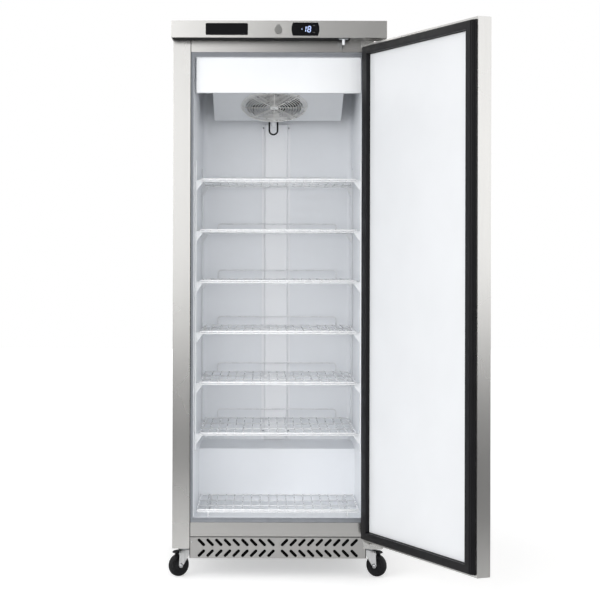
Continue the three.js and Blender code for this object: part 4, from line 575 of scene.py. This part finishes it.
def blade_face(bm, at, radius, hub, depth, base, pitch, rise):
    """One face of a twisted, cambered blade, in rows from the hub out to the tip."""
    grid = []
    for i in range(BLADE_ROWS):
        u = i / (BLADE_ROWS - 1)
        r = hub - 2 + (radius - hub + 2) * u
        chord = math.radians(30 + 26 * math.sin(math.pi * (0.2 + 0.6 * u)))
        twist = math.radians(pitch * (1.25 - 0.5 * u))
        row = []
        for j in range(BLADE_COLUMNS):
            v = j / (BLADE_COLUMNS - 1) - 0.5
            tip = r - 0.12 * radius * u * (2 * v) ** 2
            a = v * chord
            lift = -math.tan(twist) * v * chord * r + BLADE_CAMBER * (1 - 4 * v * v)
            z = base + depth / 2 + max(-depth * BLADE_REACH, min(depth * BLADE_REACH, lift)) + rise
            row.append(bm.verts.new(at @ (Vector((tip * math.cos(a), tip * math.sin(a), z)) * MM)))
        grid.append(row)
    return grid


def fan(at, radius, hub, depth, base, pitch):
    """Blades on a domed hub, which starts at the base's height and is as long as the depth."""
    bm = bmesh.new()
    top = base + depth
    lathe(bm, [(0, base), (hub - 2, base), (hub, base + 2), (hub, top - 1), (hub - 1, top), (0, top)], at, 36)
    last_row, last_column = BLADE_ROWS - 1, BLADE_COLUMNS - 1
    rim = [(i, 0) for i in range(BLADE_ROWS)] + [(last_row, j) for j in range(1, BLADE_COLUMNS)]
    rim += [(i, last_column) for i in range(last_row - 1, -1, -1)]
    rim += [(0, j) for j in range(last_column - 1, 0, -1)]
    for blade in range(BLADES):
        turned = at @ Matrix.Rotation(TAU * blade / BLADES, 4, "Z")
        low, high = [
            blade_face(bm, turned, radius, hub, depth, base, pitch, rise)
            for rise in (-BLADE_HALF, BLADE_HALF)
        ]
        for grid, flip in ((low, False), (high, True)):
            for i in range(last_row):
                for j in range(last_column):
                    quad = (grid[i][j], grid[i][j + 1], grid[i + 1][j + 1], grid[i + 1][j])
                    bm.faces.new(quad[::-1] if flip else quad)
        for (i, j), (m, n) in zip(rim, rim[1:] + rim[:1]):
            bm.faces.new((low[i][j], high[i][j], high[m][n], low[m][n]))
    return bm


piece(
    "evaporator_fan_rotor", fan(FAN_AT, 92, 26, 22, 8, 18), VENT_BLACK,
    "evaporator_fan", ("evaporator_fan_blades",),
)
CONDENSER_AT = Matrix.Translation(JOINTS["condenser_fan_spin"]["pos_m"]) @ place(0, 0, 0, (-90, 0, 0))
piece(
    "condenser_fan_rotor", fan(CONDENSER_AT, 87, 24, 18, 2, 20), MATT_BLACK,
    "condenser_fan", ("condenser_fan_blades",),
)

# ---------------------------------------------------------------- drain hose under the evaporator's tray

DRAIN_X, DRAIN_Y, DRAIN_Z = -15.0, 146.0, 1571.9
DRAIN_R, DRAIN_LOOP_R, DRAIN_DROP = 3.0, 15.0, 38.0


def drain_loop(bend_steps=14, drop_steps=5):
    """Down from the spout, round a half circle and up to the tray again, in metres."""
    down = [(-DRAIN_LOOP_R, -DRAIN_DROP * i / drop_steps) for i in range(drop_steps)]
    turn = [
        (-DRAIN_LOOP_R * math.cos(a), -DRAIN_DROP - DRAIN_LOOP_R * math.sin(a))
        for a in (math.pi * i / bend_steps for i in range(bend_steps + 1))
    ]
    up = [(DRAIN_LOOP_R, z) for x, z in reversed(down)]
    return [Vector((DRAIN_X + x, DRAIN_Y, DRAIN_Z + z)) * MM for x, z in down + turn + up]


drain_path = drain_loop()
hose_bm = bmesh.new()
tube(hose_bm, [p / MM for p in drain_path], DRAIN_R, 14)
hose = piece("drain_hose_tube", hose_bm, GASKET, "cabinet", ("drain_hose",), 60)
seat_bm = bmesh.new()
for side in (-1, 1):
    seat = [(0, 6.6), (DRAIN_R + 0.6, 6.6), (DRAIN_R + 0.6, -1.5), (DRAIN_R + 0.3, -2.6), (0, -2.6)]
    lathe(seat_bm, seat, place(DRAIN_X + side * DRAIN_LOOP_R, DRAIN_Y, DRAIN_Z), 20)
piece("drain_hose_seats", seat_bm, WHITE_COAT, "cabinet", (), 40)
cup_bm = bmesh.new()
cup = [
    (0, 6.4), (11.3, 6.4), (11.3, -9), (10.6, -15), (8.4, -20), (5, -23.6), (3.6, -24.4), (3.6, -28), (0, -28),
]
lathe(cup_bm, cup, place(DRAIN_X, DRAIN_Y, DRAIN_Z), 28)
piece("drain_cup", cup_bm, WIRE_WHITE, "cabinet", (), 35)

# ---------------------------------------------------------------- door

DOOR_OPEN = -JOINTS["door_hinge"]["range_deg"][0]
HINGE_X, HINGE_Y = [c / MM for c in JOINTS["door_hinge"]["pos_m"][:2]]
DOOR_SWING = place(HINGE_X, HINGE_Y, 0, (0, 0, DOOR_OPEN))
DOOR_AT = DOOR_SWING @ Matrix.Translation((-HINGE_X * MM, -HINGE_Y * MM, 0))  # from shut to the photo's pose
DOOR_X, DOOR_BOTTOM, DOOR_TOP = 352.0, 133.0, 1775.0
DOOR_BACK = -371.5


def mitred(bm, section, at):
    """A mitred frame round the door: each point is [free inset, hinge inset, end inset, y]."""
    rings = []
    for free, hinge, end, y in section:
        corners = [
            (-DOOR_X + free, DOOR_BOTTOM + end), (DOOR_X - hinge, DOOR_BOTTOM + end),
            (DOOR_X - hinge, DOOR_TOP - end), (-DOOR_X + free, DOOR_TOP - end),
        ]
        rings.append([bm.verts.new(at @ (Vector((x, y, z)) * MM)) for x, z in corners])
    for i, low in enumerate(rings):
        high = rings[(i + 1) % len(rings)]
        for k in range(4):
            after = (k + 1) % 4
            bm.faces.new((low[k], low[after], high[after], high[k]))


def smooth_section(points, steps=3):
    """Rounds an open run of section points with a Catmull-Rom curve."""
    out = []
    for i in range(len(points) - 1):
        p = [Vector(points[max(0, min(len(points) - 1, i + k))]) for k in (-1, 0, 1, 2)]
        for s in range(steps):
            t = s / steps
            out.append(0.5 * (2 * p[1] + (p[2] - p[0]) * t + (2 * p[0] - 5 * p[1] + 4 * p[2] - p[3]) * t * t
                              + (3 * p[1] - p[0] - 3 * p[2] + p[3]) * t ** 3))
    out.append(Vector(points[-1]))
    return [tuple(v) for v in out]


GASKET_INSET, GASKET_TOP = 8, 20.7
GASKET_FOOT = DOOR_BACK + 0.3


def gasket():
    """Bellows between a broad foot and a flat magnetic face, by [rise, free inset, hinge inset]."""
    top = GASKET_TOP
    outer = [
        (0, 0, 2), (3.6, 0, 2), (5.6, 2.4, 4.2), (7.2, 2.4, 4.4), (9.0, 0.8, 3.4), (10.6, 2.8, 5.4),
        (12.2, 3.2, 6), (14, 1.6, 7), (15.8, 4.2, 10), (17.4, 4.9, 12),
    ]
    outer = smooth_section(outer) + [(top - 0.8, 4.6, 13), (top, 5.6, 14.2)]
    inner = [
        (top, 28, 46), (top - 0.8, 28.6, 46.6), (17.2, 28.6, 46.6), (16, 28, 45.8), (14, 28, 44.6),
        (0, 28.6, 44.5),
    ]
    section = [
        (GASKET_INSET + free, GASKET_INSET + hinge, GASKET_INSET + free, GASKET_FOOT + rise)
        for rise, free, hinge in outer + inner
    ]
    bm = bmesh.new()
    mitred(bm, section, DOOR_AT)
    return bm


piece("door_gasket_bellows", gasket(), GASKET, "door", ("door_gasket",), 35)

# ---------------------------------------------------------------- kick panel

CABINET_FRONT = -350.0
KICK_X, KICK_LOW, KICK_HIGH, KICK_SHEET = 293.2, 68, 138, 1.2
KICK_RETURN_Y = -349.6  # the lip and the sides start inside the sheet
SLOT_LENGTH, SLOT_R = 22, 4.9
SLOT_FIRST, SLOT_PITCH, SLOTS_IN_HALF = 22.5, 29, 9
SLOT_MIDDLE_Z, SLOT_ROW_Z = 103, 18


def slot_outline(cx, cz, lean):
    """A round ended slot at 45 degrees, which rises to the right for a lean of 1 and to the left for -1."""
    a = lean * math.pi / 4
    reach_x, reach_z = math.cos(a) * SLOT_LENGTH / 2, math.sin(a) * SLOT_LENGTH / 2
    ends = [(cx + end * reach_x, cz + end * reach_z, a - end * math.pi / 2) for end in (1, -1)]
    return [p for x, z, start in ends for p in circle(x, z, SLOT_R, 7, start, math.pi)]


kick_slots = [
    slot_outline(half * (SLOT_FIRST + SLOT_PITCH * i), SLOT_MIDDLE_Z + row * SLOT_ROW_Z, row * half)
    for row in (-1, 1) for half in (-1, 1) for i in range(SLOTS_IN_HALF)
]
kick_outer = [(-KICK_X, KICK_LOW), (KICK_X, KICK_LOW), (KICK_X, KICK_HIGH), (-KICK_X, KICK_HIGH)]
kick_at = place(0, CABINET_FRONT + KICK_SHEET / 2, 0, FACE_FRONT)
kick_bm = bmesh.new()
kick_bm.from_mesh(plate("kick", kick_outer, kick_slots, KICK_SHEET, 0.3, kick_at))
cuboid(kick_bm, (-244, KICK_RETURN_Y, KICK_LOW), (244, -335, KICK_LOW + KICK_SHEET))
for side in (-1, 1):
    x = sorted((side * KICK_X, side * (KICK_X - KICK_SHEET)))
    cuboid(kick_bm, (x[0], KICK_RETURN_Y, 101), (x[1], -342.3, KICK_HIGH))
piece("kick_panel_sheet", kick_bm, KICK_STEEL, "cabinet", ("kick_panel",), 35)
# A flat black sheet just behind the slots is painted shade: it stands for the dark of the machine bay seen
# through them.
slot_shade_bm = bmesh.new()
cuboid(slot_shade_bm, (-283, -348.2, 72), (283, -346.6, 134))
piece("kick_panel_filter", slot_shade_bm, VENT_BLACK, "cabinet")
SCREW_X, SCREW_Z, SCREW_OUT = 285.5, 122, 0.2
kick_screws = [place(side * SCREW_X, CABINET_FRONT - SCREW_OUT, SCREW_Z, FACE_FRONT) for side in (-1, 1)]
screws("kick_screws", kick_screws, "cabinet", 2.6)

# ---------------------------------------------------------------- castors

CASTORS = {"front_left": -142, "front_right": -38, "rear_left": 90, "rear_right": 90}  # degrees about Z
SPOKES = 6
NUT_OUT = 14.7  # where the axle nuts start, from the wheel's middle
WHEEL_PROFILE = [
    (4.2, 11), (8.5, 11), (9.5, 10), (12, 8.6), (22, 7.6), (25.5, 8.2), (27, 9.8), (30, 10.6), (33.5, 10.2),
    (36.2, 8), (37.3, 4.5), (37.5, 0), (37.3, -4.5), (36.2, -8), (33.5, -10.2), (30, -10.6), (27, -9.8),
    (25.5, -8.2), (22, -7.6), (12, -8.6), (9.5, -10), (8.5, -11), (4.2, -11),
]
for name, heading in CASTORS.items():
    centre = JOINTS["castor_%s_roll" % name]["pos_m"]
    axle = Matrix.Translation(centre) @ place(0, 0, 0, (90, 0, heading))
    wheel_bm = bmesh.new()
    lathe(wheel_bm, WHEEL_PROFILE, axle, 48, True)
    for k in range(SPOKES):
        spoke = axle @ Matrix.Rotation(TAU * k / SPOKES, 4, "Z")
        for side in (-1, 1):
            cuboid(wheel_bm, (12, -1.2, side * 8 - 1), (24, 1.2, side * 8 + 1), spoke)
    piece("wheel_" + name, wheel_bm, TYRE, "castor_wheel_" + name, ("castor_wheel_" + name,), 35)
    bolt_bm = bmesh.new()
    for side in (-1, 1):
        flip = Matrix.Rotation(0 if side > 0 else math.pi, 4, "X")
        at = axle @ flip @ Matrix.Translation((0, 0, NUT_OUT * MM))
        lathe(bolt_bm, [(7, 0), (7, 1.2), (6.2, 3.0), (3.8, 4.3), (0, 4.8)], at, 20)
    piece("axle_nuts_" + name, bolt_bm, ZINC, "castor_" + name, (), 40)

# ---------------------------------------------------------------- controls on the canopy

CANOPY_FRONT = -423.0
WINDOW_X, WINDOW_Z, WINDOW_W, WINDOW_H = 86.5, 1820.5, 70, 30
WINDOW_Y = CANOPY_FRONT - 4.6
DIGIT_Y = (CANOPY_FRONT - 5.0, CANOPY_FRONT - 4.7)
DIGIT_H, DIGIT_W, DASH_W, DIGIT_SLANT = 18.5, 9.0, 5.0, 0.1
STROKE_W, STROKE_GAP = 2.1, 0.6


def digits():
    """The number -18 in slanted seven segment strokes on the controller's window."""
    bm = bmesh.new()
    strokes = {
        "a": ((0, 1), (1, 1)), "b": ((1, 1), (1, 0.5)), "c": ((1, 0.5), (1, 0)), "d": ((0, 0), (1, 0)),
        "e": ((0, 0.5), (0, 0)), "f": ((0, 1), (0, 0.5)), "g": ((0, 0.5), (1, 0.5)),
    }
    base_z = WINDOW_Z - DIGIT_H / 2
    for left, lit in ((71.5, "g"), (78.0, "bc"), (93.5, "abcdefg")):
        wide = DASH_W if lit == "g" else DIGIT_W
        for key in lit:
            a, b = [
                Vector((left + x * wide + DIGIT_SLANT * z * DIGIT_H, base_z + z * DIGIT_H))
                for x, z in strokes[key]
            ]
            along = (b - a).normalized()
            across = Vector((-along.y, along.x)) * STROKE_W / 2
            a, b = a + along * STROKE_GAP, b - along * STROKE_GAP
            tip = along * STROKE_W / 2
            shape = [a, a + tip + across, b - tip + across, b, b - tip - across, a + tip - across]
            front, back = [[bm.verts.new(Vector((p.x, y, p.y)) * MM) for p in shape] for y in DIGIT_Y]
            bm.faces.new(front)
            bm.faces.new(back[::-1])
            for i in range(6):
                j = (i + 1) % 6
                bm.faces.new((front[i], back[i], back[j], front[j]))
    return bm


piece("display_digits", digits(), DIGIT_BLUE, "cabinet", (), 20)
window = round_box(WINDOW_X, WINDOW_Z, WINDOW_W, WINDOW_H, 4)
window_at = place(0, WINDOW_Y, 0, FACE_FRONT)
piece("display_window", plate("window", window, [], 0.6, 0.2, window_at), BLACK_PLASTIC, "cabinet")
key_bm = bmesh.new()
for x, z in ((111.5, 1832), (116, 1832), (111.5, 1809.5), (116, 1809.5)):
    lathe(key_bm, [(1.0, 0), (0.8, 0.5), (0, 0.6)], place(x, CANOPY_FRONT - 4.8, z, FACE_FRONT), 16)
piece("display_keys", key_bm, LOCK_METAL, "cabinet")

# ---------------------------------------------------------------- screws on visible sheet metal

DUCT_X, DUCT_FACE, DUCT_SCREW_X = -4.0, 267.7, 47
duct_screws = [
    place(DUCT_X + side * DUCT_SCREW_X, DUCT_FACE, z, FACE_FRONT)
    for side in (-1, 1) for z in (1552, 980, 430)
]
screws("duct_screws", duct_screws, "cabinet", 3.4)

# ---------------------------------------------------------------- sealant seams, and painted shade under the canopy

SEAM_X, SEAM_MIDDLE_Z, SEAM_W, SEAM_H = 293.0, 930.5, 2.4, 1723
for side, name in ((-1, "left"), (1, "right")):
    seam = round_box(side * SEAM_X, SEAM_MIDDLE_Z, SEAM_W, SEAM_H, 1.1, 3)
    seam_at = place(0, CABINET_FRONT, 0, FACE_FRONT)
    piece("seam_" + name, plate("seam", seam, [], 0.6, 0.15, seam_at), VENT_BLACK, "cabinet")

# A thin matt black sheet just under the canopy is painted shade: it darkens the underside as the canopy's own
# shadow would.
SHADE_SHEET_Z = 1792.4
shade_sheet_at = place(0, 0, SHADE_SHEET_Z, (180, 0, 0))
shade_sheet_holes = [round_box(-4, 406, 30, 20, 3), round_box(213, 400, 34, 23, 3)]  # lock cam, door switch
shade_sheet = plate("shade_sheet", round_box(-58, 386.5, 586, 63, 4), shade_sheet_holes, 1.0, 0.2, shade_sheet_at)
piece("canopy_underside_painted_shade", shade_sheet, MATT_BLACK, "cabinet")

# ---------------------------------------------------------------- studio

GROUND = 14.0
FLOOR_GREY, FLOOR_FAR_GREY = 0.80, 0.05
FLOOR_TURNS = (0.85, 3.2)  # the distances in metres where the grey starts to fall and is down
FLOOR_LIFT = 0.42  # with it the floor is as white as the backdrop
FLOOR_IN_GLOSS = 0.04  # how much of that light reflections show


def seen_by(tree, glossy_level):
    """1 for camera rays, the level for reflections in metal and gloss, and 0 for the rest."""
    rays = tree.nodes.new("ShaderNodeLightPath")
    glossy = maths(tree, "MULTIPLY", rays.outputs["Is Glossy Ray"], glossy_level)
    return maths(tree, "ADD", rays.outputs["Is Camera Ray"], glossy)


def stage_floor():
    """A white floor. Further off its reflections in the steel turn grey, as a room's own floor would."""
    bm = bmesh.new()
    verts = [bm.verts.new((sx * GROUND, sy * GROUND, 0)) for sx, sy in ((-1, -1), (1, -1), (1, 1), (-1, 1))]
    bm.faces.new(verts)
    mesh = bpy.data.meshes.new("floor")
    bm.to_mesh(mesh)
    bm.free()
    material, tree, shader = node_tree("studio_floor")
    coords = tree.nodes.new("ShaderNodeTexCoord")
    away = tree.nodes.new("ShaderNodeVectorMath")
    away.operation = "LENGTH"
    link(tree, coords.outputs["Object"], away.inputs[0])
    grey = tree.nodes.new("ShaderNodeCombineColor")
    level = ranged(tree, away.outputs["Value"], FLOOR_GREY, FLOOR_FAR_GREY, *FLOOR_TURNS)
    for channel in range(3):
        link(tree, level, grey.inputs[channel])
    link(tree, grey.outputs[0], shader.inputs["Base Color"])
    shader.inputs["Roughness"].default_value = 0.7
    shader.inputs["Emission Color"].default_value = (1, 1, 1, 1)
    white = maths(tree, "SUBTRACT", FLOOR_LIFT + FLOOR_GREY, level)
    lift = maths(tree, "MULTIPLY", white, seen_by(tree, FLOOR_IN_GLOSS))
    link(tree, lift, shader.inputs["Emission Strength"])
    mesh.materials.append(material)
    floor = bpy.data.objects.new("studio_floor", mesh)
    scene.collection.objects.link(floor)


stage_floor()

DOME = 0.62
REFLECTION_PEAK = 2.1
# What the steel sees of the room, by the X part of the direction: soft boxes left and right, with a gap
# between them in front.
REFLECTED_ROOM = (
    (-1.0, 0.45), (-0.4, 0.56), (-0.2, 0.9), (-0.075, 1.0), (-0.035, 0.82), (-0.008, 0.34), (0.03, 0.13),
    (0.18, 0.2), (0.35, 0.42), (0.55, 0.62), (1.0, 0.7),
)
ROOM_LOW, ROOM_HIGH = 1.05, 0.85  # it dims upwards
ROOM_TURNS = (0.02, 0.22)  # between these Z parts of the direction


def either(tree, ray, no, yes):
    """One strength for the kind of ray and another for the rest."""
    mix = tree.nodes.new("ShaderNodeMix")
    mix.data_type = "FLOAT"
    link(tree, ray, mix.inputs[0])
    feed(tree, mix.inputs[2], no)
    feed(tree, mix.inputs[3], yes)
    return mix.outputs[0]


def studio_world():
    """White to the camera, a plain dome to matt surfaces, and for reflections a room of soft boxes."""
    world = bpy.data.worlds.new("studio")
    world.use_nodes = True
    scene.world = world
    tree = world.node_tree
    back = tree.nodes["Background"]
    coords = tree.nodes.new("ShaderNodeTexCoord")
    split = tree.nodes.new("ShaderNodeSeparateXYZ")
    link(tree, coords.outputs["Generated"], split.inputs[0])
    ramp = tree.nodes.new("ShaderNodeValToRGB")
    stops = ramp.color_ramp.elements
    while len(stops) < len(REFLECTED_ROOM):
        stops.new(0.5)
    for stop, (x, level) in zip(stops, REFLECTED_ROOM):
        stop.position = (x + 1) / 2
        stop.color = (level, level, level, 1)
    link(tree, ranged(tree, split.outputs["X"], 0, 1, -1, 1), ramp.inputs["Fac"])
    high = ranged(tree, split.outputs["Z"], ROOM_LOW, ROOM_HIGH, *ROOM_TURNS)
    room = maths(tree, "MULTIPLY", maths(tree, "MULTIPLY", ramp.outputs["Color"], high), REFLECTION_PEAK)
    rays = tree.nodes.new("ShaderNodeLightPath")
    level = either(tree, rays.outputs["Is Glossy Ray"], DOME, room)
    link(tree, either(tree, rays.outputs["Is Camera Ray"], level, 1.0), back.inputs["Strength"])
    back.inputs["Color"].default_value = (1, 1, 1, 1)


studio_world()


def panel_light(name, at, size, target, power, in_gloss=True):
    """A soft box that the camera doesn't see, aimed at its target."""
    data = bpy.data.lights.new(name, "AREA")
    data.shape = "RECTANGLE"
    data.size, data.size_y = size
    data.energy = power
    lamp = bpy.data.objects.new(name, data)
    scene.collection.objects.link(lamp)
    lamp.location = at
    lamp.rotation_mode = "QUATERNION"
    lamp.rotation_quaternion = (Vector(target) - Vector(at)).to_track_quat("-Z", "Z")
    lamp.visible_camera = False
    lamp.visible_glossy = in_gloss


panel_light("soft_front", (-0.5, -3.4, 1.45), (6.5, 2.4), (-0.3, 0, 1.0), 99, in_gloss=False)
panel_light("soft_left", (-2.6, -2.4, 1.7), (1.8, 2.2), (0.4, -0.5, 1.0), 32)
